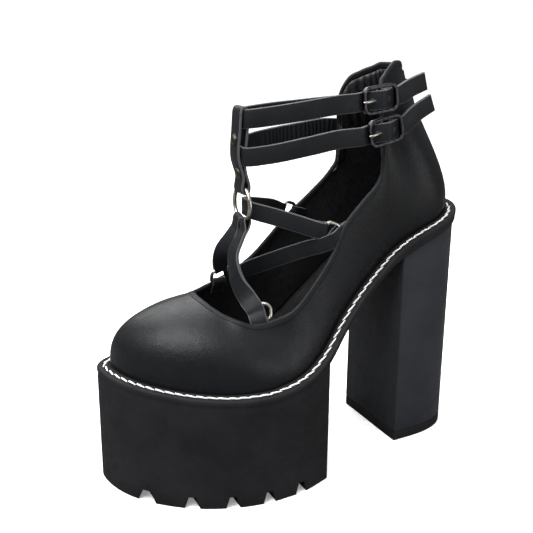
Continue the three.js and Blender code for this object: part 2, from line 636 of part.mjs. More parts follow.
// A circle of points round a centre, in the plane of two directions
function circle(centre, first, second, radius, sides) {
  return Array.from({ length: sides }, (_, i) => {
    const turn = (2 * Math.PI * (i + 0.5)) / sides;
    return centre.clone().addScaledVector(first, radius * Math.cos(turn)).addScaledVector(second, radius * Math.sin(turn));
  });
}

// A wire bent to a closed loop with rounded corners
function wireLoop({ centre, u, v, halfU, halfV, corner, wire }, { grow = 0, sides = 6, turns = 3 } = {}) {
  const first = vector(u).normalize();
  const second = vector(v).projectOnPlane(first).normalize();
  const normal = first.clone().cross(second);
  const sections = [];
  for (let i = 0; i < 4; i += 1) {
    const [signU, signV] = [[1, 1], [-1, 1], [-1, -1], [1, -1]][i];
    for (let j = 0; j <= turns; j += 1) {
      if (halfU > corner || halfV > corner || j < turns) {
        const turn = (Math.PI / 2) * (i + j / turns);
        const out = first.clone().multiplyScalar(Math.cos(turn)).addScaledVector(second, Math.sin(turn));
        const middle = vector(centre)
          .addScaledVector(first, signU * (halfU - corner))
          .addScaledVector(second, signV * (halfV - corner))
          .addScaledVector(out, corner);
        sections.push(circle(middle, out, normal, wire + grow, sides));
      }
    }
  }
  return skin(sections, true);
}

// A round wire along points that lie in one plane, with its ends grown too
function wirePath(points, planeNormal, radius, { grow = 0, sides = 6 } = {}) {
  const sections = points.map((point, i) => {
    const before = points[Math.max(i - 1, 0)];
    const after = points[Math.min(i + 1, points.length - 1)];
    const along = after.clone().sub(before).normalize();
    const end = (i === points.length - 1) - (i === 0);
    const middle = point.clone().addScaledVector(along, end * grow);
    return circle(middle, along.cross(planeNormal), planeNormal, radius + grow, sides);
  });
  return skin(sections);
}

// A shape drawn in s and z, made solid across the shoe
function acrossShoe(shape, width, x) {
  const geometry = new THREE.ExtrudeGeometry(shape, { depth: width, bevelEnabled: false });
  geometry.rotateX(Math.PI / 2);
  geometry.rotateZ(Math.PI / 2);
  return geometry.translate(x - width / 2, 0, 0);
}

// A solid with others cut out of it
const cut = (solid, ...others) => others.reduce((rest, other) => rest.subtract(other), solid);

// Buckle: its own directions, and a point given along, out and across
function buckleFrame({ centre, pitch }) {
  const turn = THREE.MathUtils.degToRad(pitch);
  const along = new THREE.Vector3(0, Math.cos(turn), Math.sin(turn));
  const across = new THREE.Vector3(0, -Math.sin(turn), Math.cos(turn));
  const out = new THREE.Vector3(1, 0, 0);
  const at = (a, n, c = 0) => vector(centre).addScaledVector(along, a).addScaledVector(out, n).addScaledVector(across, c);
  return { along, across, out, at };
}

function buckleLoop(buckle, grow = 0) {
  const { along, across, at } = buckleFrame(buckle);
  const bent = { ...BUCKLE, centre: buckle.centre, u: along.toArray(), v: across.toArray() };
  const ends = [-BUCKLE.halfV, BUCKLE.halfV].map((c) => at(0, -BUCKLE.barDrop, c));
  const bar = wirePath(ends, along, BUCKLE.bar, { grow });
  return toSolid(wireLoop(bent, { grow })).add(toSolid(bar));
}

// The prong hooks round the middle bar and lies forward over the front bar
function prong(buckle, grow = 0) {
  const { across, at } = buckleFrame(buckle);
  const reach = BUCKLE.bar + GAP + BUCKLE.prong;
  const hook = [-110, -70, -30, 10, 50, 90].map((degrees) => {
    const turn = THREE.MathUtils.degToRad(degrees);
    return at(reach * Math.cos(turn), reach * Math.sin(turn) - BUCKLE.barDrop);
  });
  const tip = BUCKLE.wire + GAP + BUCKLE.prong;
  const points = [...hook, at(-4, 1.5), at(-BUCKLE.halfU, tip), at(-BUCKLE.halfU - 1.8, tip - 0.3)];
  return toSolid(wirePath(points, across, BUCKLE.prong, { grow }));
}

// The strap's way through its buckle: under the front bar, over the middle bar, under the rear bar
function buckleRows(buckle) {
  const { at } = buckleFrame(buckle);
  const under = BUCKLE.wire + GAP + STRAP.thick / 2;
  const over = BUCKLE.bar - BUCKLE.barDrop + GAP + BUCKLE_TAB.thick + STRAP.thick / 2;
  const way = [[-BUCKLE.halfU - 4, -under], [-BUCKLE.halfU, -under], [-5, 0.2], [0, over], [5, 0.2],
    [BUCKLE.halfU, -under], [BUCKLE.halfU + 4, -under]];
  return way.map(([a, n]) => at(a, n)).map((p) => ({ x: p.x, s: p.y, z: p.z }));
}

const ankleRows = (rows, buckle, tail) => [...rows, ...buckleRows(buckle), ...tail];
const ankles = {
  upper: ankleRows(UPPER_ANKLE, BUCKLES.upper, UPPER_TAIL),
  lower: ankleRows(LOWER_ANKLE, BUCKLES.lower, LOWER_TAIL),
};

function ankleStrap(level, grownUpper) {
  const buckle = BUCKLES[level];
  return cut(toSolid(ribbon(ankles[level], STRAP)), buckleLoop(buckle, GAP), prong(buckle, GAP), grownUpper);
}

// The tab from the quarter passes under the rear bar and folds round the middle bar
function buckleTab(level, grownUpper) {
  const buckle = BUCKLES[level];
  const { at } = buckleFrame(buckle);
  const under = -(BUCKLE.wire + GAP + STRAP.thick + GAP + BUCKLE_TAB.thick / 2);
  const fold = 2 * (BUCKLE.bar + GAP + BUCKLE_TAB.thick * 0.8);
  const bends = [[BUCKLE.halfU - 0.5, under, BUCKLE_TAB.thick], [4, -2.6, BUCKLE_TAB.thick],
    [0.8, -BUCKLE.barDrop, fold], [-BUCKLE.bar - 1.4, -BUCKLE.barDrop, fold * 0.7]];
  const rows = [...BUCKLE_TABS[level], ...bends.map(([a, n, thick]) => {
    const p = at(a, n);
    return { x: p.x, s: p.y, z: p.z, thick };
  })];
  return cut(
    toSolid(ribbon(rows, BUCKLE_TAB)),
    buckleLoop(buckle, GAP),
    prong(buckle, GAP),
    toSolid(ribbon(ankles[level], STRAP, GAP)),
    grownUpper,
  );
}

function tBar() {
  const front = T_BAR_ROWS.map(({ z, front: s }) => new THREE.Vector2(s, z));
  const back = T_BAR_ROWS.map(({ z, back: s }) => new THREE.Vector2(s, z)).reverse();
  const body = acrossShoe(new THREE.Shape([...front, ...back]), T_BAR.width, T_BAR.x);
  return cut(
    toSolid(body),
    toSolid(ribbon(ankles.upper, STRAP, GAP)),
    toSolid(ribbon(ankles.lower, STRAP, GAP)),
    toSolid(wireLoop(O_RING, { grow: GAP, turns: 6 })),
  );
}

// A low domed rivet head on the front of the T-bar
function rivet(z) {
  const front = through([...T_BAR_ROWS].reverse(), 'z', 'front');
  const { radius, height } = RIVET;
  const profile = [[0, 0], [radius, 0], [radius, height * 0.4], [radius * 0.7, height * 0.85], [0, height]];
  const head = new THREE.LatheGeometry(profile.map(([r, y]) => new THREE.Vector2(r, y)), 14);
  head.rotateX(Math.PI - Math.atan((front(z + 2) - front(z - 2)) / 4));
  return head.translate(T_BAR.x, front(z) - 1.5 * GAP, z);
}

const wholeRing = (name) => ({ ...D_RING, ...D_RINGS[name] });
const grownRing = (name) => toSolid(wireLoop(wholeRing(name), { grow: GAP }));
const grownORing = () => toSolid(wireLoop(O_RING, { grow: GAP, turns: 6 }));

// Zip slider: a flat body with a bridge, and the pull that hangs from the bridge
function zipFrame() {
  const rise = backRise(ZIP.seat);
  const seat = upperPoint(Math.PI, rise);
  const along = upperPoint(Math.PI, rise + 0.02).sub(upperPoint(Math.PI, rise - 0.02)).setX(0).normalize();
  const out = new THREE.Vector3(1, 0, 0).cross(along).negate();
  const at = (a, n) => seat.clone().setX(SEAT.x - 0.5).addScaledVector(along, a).addScaledVector(out, n);
  return { along, out, at };
}

// How far up the back the upper reaches a height
function backRise(z) {
  let [low, high] = [0, 1];
  for (let i = 0; i < 30; i += 1) {
    const middle = (low + high) / 2;
    if (upperPoint(Math.PI, middle).z < z) low = middle;
    else high = middle;
  }
  return low;
}

// A block in the slider's own directions
function zipBlock([a0, a1], [n0, n1], width) {
  const { at } = zipFrame();
  const side = new THREE.Vector3(width / 2, 0, 0);
  return skin([side.clone().negate(), side].map((shift) => (
    [at(a0, n0), at(a1, n0), at(a1, n1), at(a0, n1)].map((p) => p.clone().add(shift))
  )));
}

function zipSlider() {
  const base = ZIP.clearance;
  const top = base + ZIP.thick;
  const under = top + PULL.thick + 2 * GAP;
  const half = ZIP.length / 2;
  const ends = [[-half + 1, -half + 1 + ZIP.post], [half - 1 - ZIP.post, half - 1]];
  return [
    zipBlock([-half, half], [base, top], ZIP.width),
    ...ends.map((end) => zipBlock(end, [base, under + ZIP.bridge], ZIP.bridgeWidth)),
    zipBlock([-half + 1, half - 1], [under, under + ZIP.bridge], ZIP.bridgeWidth),
  ].map(toSolid).reduce((whole, block) => whole.add(block));
}

// The pull: a flat tongue whose eye goes round the lower post of the bridge
function zipPull() {
  const low = ZIP.clearance + ZIP.thick + GAP;
  const high = low + PULL.thick;
  const post = -ZIP.length / 2 + 1;
  const plate = toSolid(zipBlock([-PULL.length, post + ZIP.post + GAP + PULL.top], [low, high], PULL.width));
  const eye = toSolid(zipBlock([-PULL.neck - 1.2, post + ZIP.post + GAP], [low - 1, high + 1], PULL.eyeWidth));
  return plate.subtract(eye);
}

// The pieces, from the floor up
const grownUpper = toSolid(upper(GAP));
const ring = (name) => wireLoop(wholeRing(name));

add('sole_unit', soleUnit(), RUBBER);
add('welt', welt(), RUBBER);
add('insole', insole(), LINING);
add('heel_block', heelBlock(), HEEL_COVER);
add('heel_tip', heelTip(), RUBBER);
add('upper', upper(), LEATHER);
for (const height of ['upper', 'lower']) {
  add(`ankle_strap_${height}`, fromSolid(ankleStrap(height, grownUpper)), LEATHER);
  add(`buckle_${height}`, fromSolid(buckleLoop(BUCKLES[height])), GUNMETAL);
  add(`prong_${height}`, fromSolid(prong(BUCKLES[height])), GUNMETAL);
  add(`buckle_tab_${height}`, fromSolid(buckleTab(height, grownUpper)), LEATHER);
}
add('t_bar', fromSolid(tBar()), LEATHER);
RIVET.heights.forEach((z, i) => add(`rivet_${i + 1}`, rivet(z), NICKEL));
add('o_ring', wireLoop(O_RING, { turns: 6 }), NICKEL);
for (const name of Object.keys(D_RINGS)) add(`d_ring_${name}`, ring(name), NICKEL);
for (const [name, rows] of Object.entries(RING_TABS)) {
  const tab = cut(toSolid(ribbon(rows, RING_TAB)), grownRing(name), grownUpper);
  add(`ring_tab_${name}`, fromSolid(tab), LEATHER);
}
const lowerInner = cut(toSolid(ribbon(LOWER_INNER, STRAP)), grownORing(), grownRing('lower_inner'));
const lowerOuter = cut(toSolid(ribbon(LOWER_OUTER, STRAP)), grownORing(), grownRing('lower_outer'));
const instep = cut(
  toSolid(ribbon(INSTEP, STRAP)),
  grownORing(),
  grownRing('upper_outer'),
  grownRing('upper_inner'),
);
const crossing = cut(
  toSolid(ribbon(CROSSING, STRAP)),
  grownRing('upper_outer'),
  grownRing('lower_inner'),
  toSolid(ribbon(INSTEP, STRAP, GAP)),
  toSolid(ribbon(LOWER_INNER, STRAP, GAP)),
  toSolid(ribbon(RING_TABS.lower_inner, RING_TAB, GAP)),
  grownUpper,
);
add('strap_lower_inner', fromSolid(lowerInner), LEATHER);
add('strap_lower_outer', fromSolid(lowerOuter), LEATHER);
add('strap_instep', fromSolid(instep), LEATHER);
add('strap_crossing', fromSolid(crossing), LEATHER);
add('zip_slider', fromSolid(zipSlider()), GUNMETAL);
add('zip_pull', fromSolid(zipPull()), GUNMETAL);

export default shoe;
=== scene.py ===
"""Left platform shoe with a ringed strap harness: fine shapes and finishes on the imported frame.

Sizes are in millimetres while a shape is worked out. There, x runs to the outer side, s runs back from the
tip of the toe and z runs up from the floor. to_frame moves a finished shape into the frame's own metres."""

import math

import bpy
import numpy as np
from bpy.props import FloatProperty, FloatVectorProperty, PointerProperty
from mathutils import Matrix, Vector


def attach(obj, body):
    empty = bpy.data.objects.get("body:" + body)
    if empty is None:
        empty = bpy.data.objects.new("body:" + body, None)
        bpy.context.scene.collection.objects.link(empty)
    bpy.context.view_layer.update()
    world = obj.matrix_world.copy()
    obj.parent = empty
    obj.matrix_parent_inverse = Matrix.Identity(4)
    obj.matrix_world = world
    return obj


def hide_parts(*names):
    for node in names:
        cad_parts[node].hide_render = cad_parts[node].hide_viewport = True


bl_info = {
    "name": "Platform shoe",
    "version": (1, 0, 0),
    "blender": (4, 5, 0),
    "location": "View3D > Sidebar > Shoe",
    "description": "Builds the pieces of a platform shoe with a strap harness",
    "category": "Add Mesh",
}

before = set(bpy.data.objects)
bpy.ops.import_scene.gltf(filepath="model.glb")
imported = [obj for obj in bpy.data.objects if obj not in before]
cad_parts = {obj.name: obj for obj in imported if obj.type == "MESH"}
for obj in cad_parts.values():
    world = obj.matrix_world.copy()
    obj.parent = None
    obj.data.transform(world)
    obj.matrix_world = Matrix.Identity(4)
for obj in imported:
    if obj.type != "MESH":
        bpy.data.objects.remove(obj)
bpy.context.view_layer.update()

# Places and sizes that the pieces share with the frame
LENGTH = 216
MIDDLE = np.array([4, LENGTH / 2, 0])
GAP = 0.3
TOE = {"x": -15.2, "outer_reach": 79, "outer_power": 1.83, "inner_reach": 59.3, "inner_power": 2.02}
SEAT = {"x": 0.5, "reach": 27, "power": 2.2}
WELT_THICK = 2
PLATFORM = {
    "rear": 110.2, "flare": 0.1, "flare_depth": 13, "spring": 0.5, "spring_length": 9, "tip": 0.02,
    "stations": 90, "clear": 0.5, "top_inset": 0.3,
}
# The platform's loops: inset past the flare and height over the tread, then shares of the way up its side,
# then shares of the flare and of its depth
PLATFORM_FOOT = [(0.9, 0), (0.35, 0.12), (0.08, 0.4), (0, 0.9)]
PLATFORM_SIDE = (0.15, 0.4, 0.7, 1)
PLATFORM_NECK = [(0.85, 0.8), (0.6, 0.65), (0.35, 0.5)]
# The slab's loops: inset, height over its underside, then over its top
SLAB_LOW = [(1.4, 0), (0.8, 0.15), (0.4, 0.5), (0.25, 1)]
SLAB_HIGH = [(0.1, -0.4), (0.2, -0.12), (0.6, 0.05), (3, 0)]
WAIST = {"thick": 5.4, "seat_thick": 6.4, "seat_start": 158, "seat_full": 170}
LUGS = {"first": 14.1, "pitch": 19.2, "count": 5, "mouth": 7, "roof": 3.4, "depth": 6.4}
HEEL = {
    "breast": 167.3, "back": 214.9, "half": 26.7, "straight": 9, "power": 2.6, "tip": 6, "corner": 0.9,
    "turn_steps": 40, "corner_steps": 5, "gap": 0.1,
}
# The heel block's loops over the tip and the tip's loops over the floor: inset, height
HEEL_FOOT = [(0.5, 0.15), (0.15, 0.25), (0, 0.6)]
HEEL_SIDE = (0.25, 0.5, 0.75, 1)
TIP_SECTION = [(0.7, 0), (0.3, 0.1), (0.05, 0.5), (0, 1.2), (0, 5.5), (0.1, 5.85), (0.5, 6)]
INSOLE = {"inset": 10.4, "thick": 3.2, "above": 1.4}
# The insole's loops over its base: further inset, depth below its top
INSOLE_TOP = [(0, 0.8), (0.25, 0.3), (0.8, 0), (3, 0.1), (8, 0.6)]
UPPER_INSET = 7.5
STATIONS = {"slab": 200, "welt": 330, "insole": 120, "shell": 170, "lining": 150, "binding": 260}
SHELL = {"rows": 46, "hem": 0.35}
LINING = {"rows": 34, "low": 0.01, "high": 0.985, "gap": 0.05}
BINDING = {"steps": 8, "clear": 0.15, "bulge": 0.32, "rise": 0.1}
COLLAR = {
    "front": 152, "back": 211, "columns": 150, "rows": 40, "low": 0.96, "high": 0.972, "drop": 0.3,
    "drop_reach": 0.22, "round_up": 0.55, "round_along": 0.35, "gathers": 13, "gather_depth": 0.5,
    "folds": 6.5, "fold_depth": 0.3, "fold_lean": 3, "gap": 0.1, "least": 0.15,
}
# A welt stitch: its turn across the groove in degrees, the sink and bend of its ends, and its lift
STITCH = {"slant": 11, "sink": -0.4, "flat": 0.85, "bend": 0.9, "lift": -0.1, "sides": 6, "samples": 6000}
STITCH_ALONG = np.array([-1, -0.9, -0.6, 0, 0.6, 0.9, 1])
STITCH_THICK = np.array([0.45, 0.85, 1, 1, 0.85, 0.6, 0.35])

# s, outer edge, inner edge
PLAN = np.array([
    (0, 48.8, -40.8), (60, 48.8, -40.8), (80, 48.5, -39.3), (92, 47.9, -37.2), (108, 43.4, -33.4),
    (130, 36, -27.2), (150, 31, -27.2), (165, 28.5, -27.4), (LENGTH, 28.5, -27.5),
])
# s, height of the welt's top
LEVEL = np.array([
    (0, 66.2), (20, 64.2), (40, 62.2), (60, 61.1), (72, 61.2), (82, 62.3), (92, 64.6), (102, 68.3),
    (112, 75.6), (122, 86.8), (135, 99), (150, 110.8), (170, 124.2), (190, 132.8), (LENGTH, 142.5),
])

# Upper: foot s, opening x, s, z, lean, rise, and the way it arrives at the opening dx, ds, dz
TOE_ROW = (0, -8, 53.6, 101.2, 3.2, 25, 2, 26, 4)
BACK_ROW = (LENGTH, 0, 177, 221, 7, 20, 0, -9, 30)
OUTER_ROWS = [
    (10, -3, 53.3, 101.2, 2.8, 24, -3, 26, 4),
    (30, 5, 54.6, 100.2, 2, 22, -12, 20, 6),
    (50, 12, 57, 98.3, 1.5, 20, -15, 11, 8),
    (64, 18, 60.5, 96.3, 1.5, 18, -13, 3, 10),
    (76, 24, 66, 94.2, 1, 15, -9, -1, 10),
    (86, 27.5, 73, 92.2, 1, 12, -6, -4, 10),
    (96, 30, 83, 93.6, 0.5, 11, -4, -4, 10),
    (106, 32, 94, 98, 0.5, 11, -2, -4, 10),
    (118, 31, 107, 110.6, 0.5, 12, -1, -4, 11),
    (130, 29, 119.5, 125.6, 0.5, 13, 0, -4, 12),
    (139, 28, 126.5, 139.5, 1, 14, 0, -4, 13),
    (148, 27, 138.4, 151.3, 1, 15, 0, -3, 14),
    (156, 26.5, 148, 161, 1.5, 16, -0.5, -2, 15),
    (162, 26.2, 151.2, 171, 2, 17, -1, -2, 17),
    (169, 25, 151.4, 186, 3, 19, -2, -2, 20),
    (176, 22, 151.6, 202, 3.5, 22, -5, -2, 24),
    (181, 18, 153.2, 213, 4, 24, -6, -3, 26),
    (187, 14.5, 157.8, 217.4, 4, 24, -6, -3, 28),
    (194, 12, 163, 221.5, 5, 24, -5, -5, 28),
    (203, 9, 169, 224.3, 6, 22, -3, -7, 29),
    (211, 5.5, 174.5, 224, 7, 20, -1, -9, 30),
]
INNER_ROWS = [
    (8, -12, 54.4, 100.8, 3.4, 24, 6, 25, 4),
    (28, -17.5, 55.8, 99.6, 3, 22, 12, 18, 6),
    (48, -20.5, 59, 99.1, 2, 20, 11, 6, 9),
    (66, -24, 66.5, 99.7, 2, 18, 8, 1, 11),
    (80, -26.5, 75, 101.2, 1.5, 16, 5, -1, 12),
    (93, -28, 87, 105.4, 1, 15, 2, -2, 13),
    (105, -28.2, 98, 112, 1, 15, 1, -3, 13),
    (117, -27.6, 108.5, 122, 1, 15, 0, -3, 13),
    (129, -26.6, 120.5, 134.6, 1, 15, 0, -3, 13),
    (140, -25.7, 133.5, 145.3, 1, 15, 0, -3, 14),
    (150, -24.8, 147, 158, 1.5, 16, 0, -2, 15),
    (157, -24.2, 152.2, 167, 2, 17, 1, -2, 17),
    (166, -22.8, 151.8, 184, 3, 19, 2, -2, 20),
    (174, -21.3, 150.6, 202, 3.5, 22, 4, -2, 24),
    (181, -17.5, 154, 213.6, 4, 24, 6, -3, 26),
    (188, -14.2, 160.3, 218, 4, 24, 6, -3, 28),
    (196, -11, 166, 220.6, 5, 24, 5, -5, 28),
    (205, -8, 171, 222.9, 6, 22, 3, -7, 29),
    (211.5, -5, 175, 222.9, 7, 20, 1, -9, 30),
]

# Straps: x, s, z of the centre line, then the way across (ax, as, az) and the width
STRAP_WIDTH = 10
EDGE_STEPS = 3
UPRIGHT = (0, 0, 1)
SIDEWAYS = np.array([1.0, 0, 0])


def upright(rows, width=STRAP_WIDTH):
    """Rows of x, s, z with an upright way across."""
    return [(*row, *UPRIGHT, width) for row in rows]


UPPER_ANKLE = [
    (-20.4, 161, 200.4, 0.25, 0, 1, 10), (-22.5, 153.5, 199.6, 0.18, 0, 1, 10),
    *upright([
        (-23.8, 143, 199), (-24, 127, 198), (-21.4, 108, 197.2), (-15.6, 92, 196.6), (-8.8, 80.3, 196.2),
        (-3, 79, 196.1), (2.8, 80.3, 196.5), (9.3, 91, 198.2), (18, 106, 201.2), (24, 121.5, 204),
    ]),
]
LOWER_ANKLE = [
    (-23.3, 161, 186.2, 0.16, 0, 1, 10), (-24.3, 153.5, 185.9, 0.08, 0, 1, 10),
    *upright([
        (-24.4, 143, 186.4), (-24.2, 127, 184.8), (-21.4, 107, 183), (-15.4, 90.4, 181.4),
        (-8.8, 78.9, 179.2), (-3, 77.7, 177.8), (2.8, 78.9, 176.8), (9.6, 90.6, 178.4),
        (18.4, 106.4, 182.4), (24.2, 122.5, 186.1),
    ]),
]
UPPER_TAIL = upright([(26, 166, 211.6), (25, 176.4, 215)])
LOWER_TAIL = upright([(26.2, 170, 197.6), (25, 182, 203.3)])
INSTEP = [
    (24.1, 115.3, 138.4, 0.1, 0.2, 1, 8), (22.6, 111.6, 138.6, 0.1, 0.2, 1, 9.4),
    (16.4, 102.6, 141.6, 0.1, 0.2, 1, 9.4), (9, 92.4, 144.8, 0, 0.15, 1, 9.4),
    (2.6, 83.6, 147.4, 0, 0, 1, 9.4), (-3, 82.4, 148.2, 0, 0, 1, 9.4), (-8.6, 83.4, 148.2, 0, 0, 1, 9.4),
    (-14, 92, 146.2, 0, 0.15, 1, 9.4), (-19.8, 106, 142.8, 0, 0.25, 1, 9.4),
    (-22.7, 115.1, 139.5, 0, 0.3, 1, 7.6),
]
CROSSING = [
    (24, 132, 138, -0.1, 0.1, 1, 9), (25.4, 127, 136.4, -0.1, 0.1, 1, 9),
    (25.8, 123.2, 134.9, -0.1, 0.1, 1, 9), (26.6, 118.4, 132.2, -0.1, 0.1, 1, 8.6),
    (24.4, 113.4, 130, 0, 0, 1, 8.4), (17.8, 110.2, 127.2, 0, 0, 1, 8.8), (3, 100, 119.2, 0, 0, 1, 9),
    (-8.6, 91.6, 112.4, 0, 0, 1, 9), (-18.4, 83.6, 107, 0.3, 0, 1, 7), (-21.8, 79.1, 106.2, 0.4, 0, 1, 5.4),
]
LOWER_OUTER = [
    (1.1, 80, 141.9, 0.92, 0, 0.38, 6.6), (2, 79, 137.4, 0.95, 0, 0.3, 7.4),
    (1.9, 75.4, 131.6, 0.97, 0.1, 0.2, 9), (2.4, 72.2, 125, 0.98, 0.05, 0.1, 10),
    (5.4, 71.2, 117.4, 0.95, 0.15, 0.1, 10), (9.8, 71.8, 110, 0.87, 0.4, 0.1, 10),
    (15.8, 74.2, 103.4, 0.66, 0.72, 0.1, 10), (21.6, 76, 98, 0.5, 0.86, 0.05, 9.6),
    (24.6, 76.6, 92.6, 0.45, 0.89, 0.02, 9),
]
LOWER_INNER = [
    (-7.1, 80, 141.9, 0.92, 0, -0.38, 6.6), (-8.4, 79, 137.4, 0.95, 0, -0.3, 7.4),
    (-9.6, 75.6, 130.4, 0.9, 0.1, -0.4, 9), (-12.6, 72.8, 122, 0.6, 0.7, -0.3, 10),
    (-16, 72.6, 115, 0.1, 0.98, -0.1, 9.4), (-19.7, 73.9, 109.8, -0.12, 0.98, 0.12, 7.2),
]
RING_TABS = {
    "lower_outer": [
        (26.4, 77.4, 86.6, 0.4, 0.9, 0, 7.6), (25.6, 77.6, 90.4, 0.45, 0.89, 0, 7.6),
        (24.6, 77.8, 93.4, 0.45, 0.89, 0, 7.6),
    ],
    "upper_inner": [
        (-23.4, 130, 134.8, 0, 0.3, 0.95, 7.6), (-23.2, 126.6, 135.9, 0, 0.3, 0.95, 7.6),
        (-23.1, 123.4, 136.9, 0, 0.3, 0.95, 7.6),
    ],
    "lower_inner": [
        (-25.2, 74, 94.6, 0, 1, 0, 7.6), (-24.2, 74, 98.2, 0, 1, 0, 7.6), (-22.7, 74, 101.5, 0, 1, 0, 7.6),
    ],
}

# Rings: middle, the way of the straight bar, the way towards the pull
O_RING = {
    "centre": (-3, 80, 150.5), "u": (1, 0, 0), "v": (0, 0, 1), "half_u": 9.6, "half_v": 9.6, "corner": 9.6,
}
D_RINGS = {
    "upper_outer": {"centre": (24.9, 119.2, 136.6), "u": (0.05, 0.4, 0.92), "v": (-0.2, -0.9, 0.4)},
    "lower_outer": {"centre": (23, 78.5, 97.4), "u": (0.45, 0.89, 0.02), "v": (-0.35, 0.15, 0.92)},
    "upper_inner": {"centre": (-22.9, 119.3, 138.2), "u": (0, 0.3, 0.95), "v": (0.05, -0.95, 0.3)},
    "lower_inner": {"centre": (-21.2, 74, 105.6), "u": (-0.12, 0.98, 0.12), "v": (0.35, 0, 0.94)},
}
D_RING = {"half_u": 5.1, "half_v": 4.4, "corner": 3.4}
RING_TURNS = {"o_ring": 24, "d_ring": 10}
O_WIRE = 1.15
D_WIRE = 1
# The outer lower strap's end covers its ring's lower bar and the tab that is folded round it
OVER_TAB = 2.1
# Each strap's rows, and where it holds a bar: ring, shares of the ring's half sizes, radius to part round
STRAPS = {
    "strap_instep": (INSTEP, [("upper_outer", 0, 1, D_WIRE), ("upper_inner", 0, 1, D_WIRE)]),
    "strap_crossing": (CROSSING, [("upper_outer", 0, -1, D_WIRE), ("lower_inner", 1, 0, D_WIRE)]),
    "strap_lower_outer": (LOWER_OUTER, [("lower_outer", 0, 1, D_WIRE), ("lower_outer", 0, -1, OVER_TAB)]),
    "strap_lower_inner": (LOWER_INNER, [("lower_inner", 0, 1, D_WIRE)]),
}
# A doubled strap: distance of its sections, reach of the bump round a bar, gaps, steps round its ends
FOLD = {"spacing": 0.9, "reach": 6.5, "layer_gap": 0.02, "bar_gap": 0.1, "steps": 8}

T_BAR = {"x": -3, "width": 10, "thick": 1.5, "points": 180, "smoothing": 14}
# The T-bar's outline: height, front, back
T_BAR_ROWS = np.array([
    (203.3, 78.3, 79.8), (202.8, 77.2, 81), (201.4, 76.5, 81.5), (197, 76.2, 81.8), (192, 75.9, 81.8),
    (187, 75.5, 81.4), (182, 75, 80.8), (178, 74.9, 80.5), (174, 75.3, 80.3), (170.5, 76.5, 80.2),
    (167, 77.7, 81), (164.5, 78.3, 81.8), (162, 77.4, 82.7), (160, 77, 83), (157.6, 77.2, 82.8),
    (156, 78, 82), (155.5, 79.2, 80.8),
])
RIVET = {"radius": 3.1, "heights": (185.4, 167.2), "reach": 2, "sides": 32}
# A rivet's dome: distance in from its rim, height
RIVET_DOME = [
    (0, -0.1), (0, 0.3), (0.15, 0.5), (0.5, 0.55), (0.65, 0.5), (0.9, 0.75), (1.5, 1.144), (2.2, 1.274),
    (3.08, 1.3),
]

BUCKLE = {
    "half_u": 10.1, "half_v": 6.5, "corner": 3.4, "wire": 1.1, "bar": 0.8, "bar_drop": 0.9, "prong": 0.7,
}
# The frame's section: outward, across
BUCKLE_SECTION = [
    (-1, -1), (0.55, -1), (1, -0.6), (1, 0.35), (0.95, 0.6), (0.6, 0.95), (0.1, 1.05), (-1, 0.9),
]
# The prong: degrees of its hook round the bar, its rise to the front bar as (along, out), and its tapered tip
HOOK = (-110, -70, -30, 10, 50, 90)
PRONG = {
    "rise": [(-4, 1.1), (-7.4, 1.9)], "past": 1.8, "drop": 0.5, "taper": 1.2, "tip": 0.55, "spacing": 0.6,
    "sides": 12,
}
# Holes: places along the strap from the buckle's middle bar, then (radius, height) of the rim and the floor
HOLES = {"places": (3.4, -6.6), "over": 2.6, "sides": 20}
HOLE_RIM = [(1.25, -0.1), (1.2, 0.06), (0.95, 0.1), (0.8, 0.02), (0.8, -0.1)]
HOLE_FLOOR = [(0.82, -0.15), (0.8, 0.02), (0.02, 0.01)]
BUCKLES = {
    "upper": {"centre": (28, 145.6, 206.5), "pitch": 7},
    "lower": {"centre": (28.6, 149.6, 189.8), "pitch": 11},
}
# The tabs' rows before the buckle, as a strap's
BUCKLE_TABS = {
    "upper": [(17.8, 162.5, 206.6, -0.22, 0, 1, 9.6), (20.4, 157.5, 206.8, -0.2, 0, 1, 9.6)],
    "lower": [(22.2, 166, 191, -0.18, 0, 1, 9.6), (24.2, 159, 190.4, -0.12, 0, 1, 9.6)],
}
BUCKLE_TAB_THICK = 1.5
BUCKLE_TAB_WIDTH = 9.6
# The ankle strap's weave through its buckle: near and past a bar along it, and height beside the middle bar
ANKLE_WEAVE = (5, 4, 0.2)
STRAP_THICK = 2
ANKLE_SPACING = 0.45
# The gathers of an ankle strap's inner face: their start and end, pitch, wander of the pitch, and heights
GATHERS = {
    "front": (98, 104), "back": (146, 152), "pitch": 2.9, "wander": 1.4, "wander_length": 4, "lower": 0.8,
    "upper": 0,
}

ZIP = {
    "seat": 211, "length": 8, "width": 7, "thick": 1.4, "clearance": 0.4, "post": 1.3, "bridge": 0.8,
    "middle": 0, "power": 3.2, "bevel": 0.35, "arch": 1.8, "arch_round": 0.25,
}
# The arch's foot: distance in from the body's end and height over the body; then in and below the arch's top
ARCH_FOOT = [(1.6, -0.3), (1.5, 0.6)]
ARCH_SHOULDER = (2, 0.15)
ARCH_SPACING = 0.4
ZIP_TAPE = {
    "low": 0.06, "high": 0.985, "rows": 120, "lift": 0.12, "from_middle": 2.6, "width": 3.6, "thick": 0.3,
    "round": 0.1,
}
# A zip's tooth: half width, half height and lift of its three loops
ZIP_TOOTH = [(1.1, 0.33, 0), (1.1, 0.33, 0.3), (0.8, 0.2, 0.42)]
ZIP_TEETH = {"pitch": 1.25, "aside": 0.55}
PULL = {
    "length": 14, "width": 5.4, "thick": 0.9, "top": 0.6, "neck": 4.6, "eye": 2.6, "power": 4, "eye_power": 6,
    "bevel": 0.2, "points": 48,
}

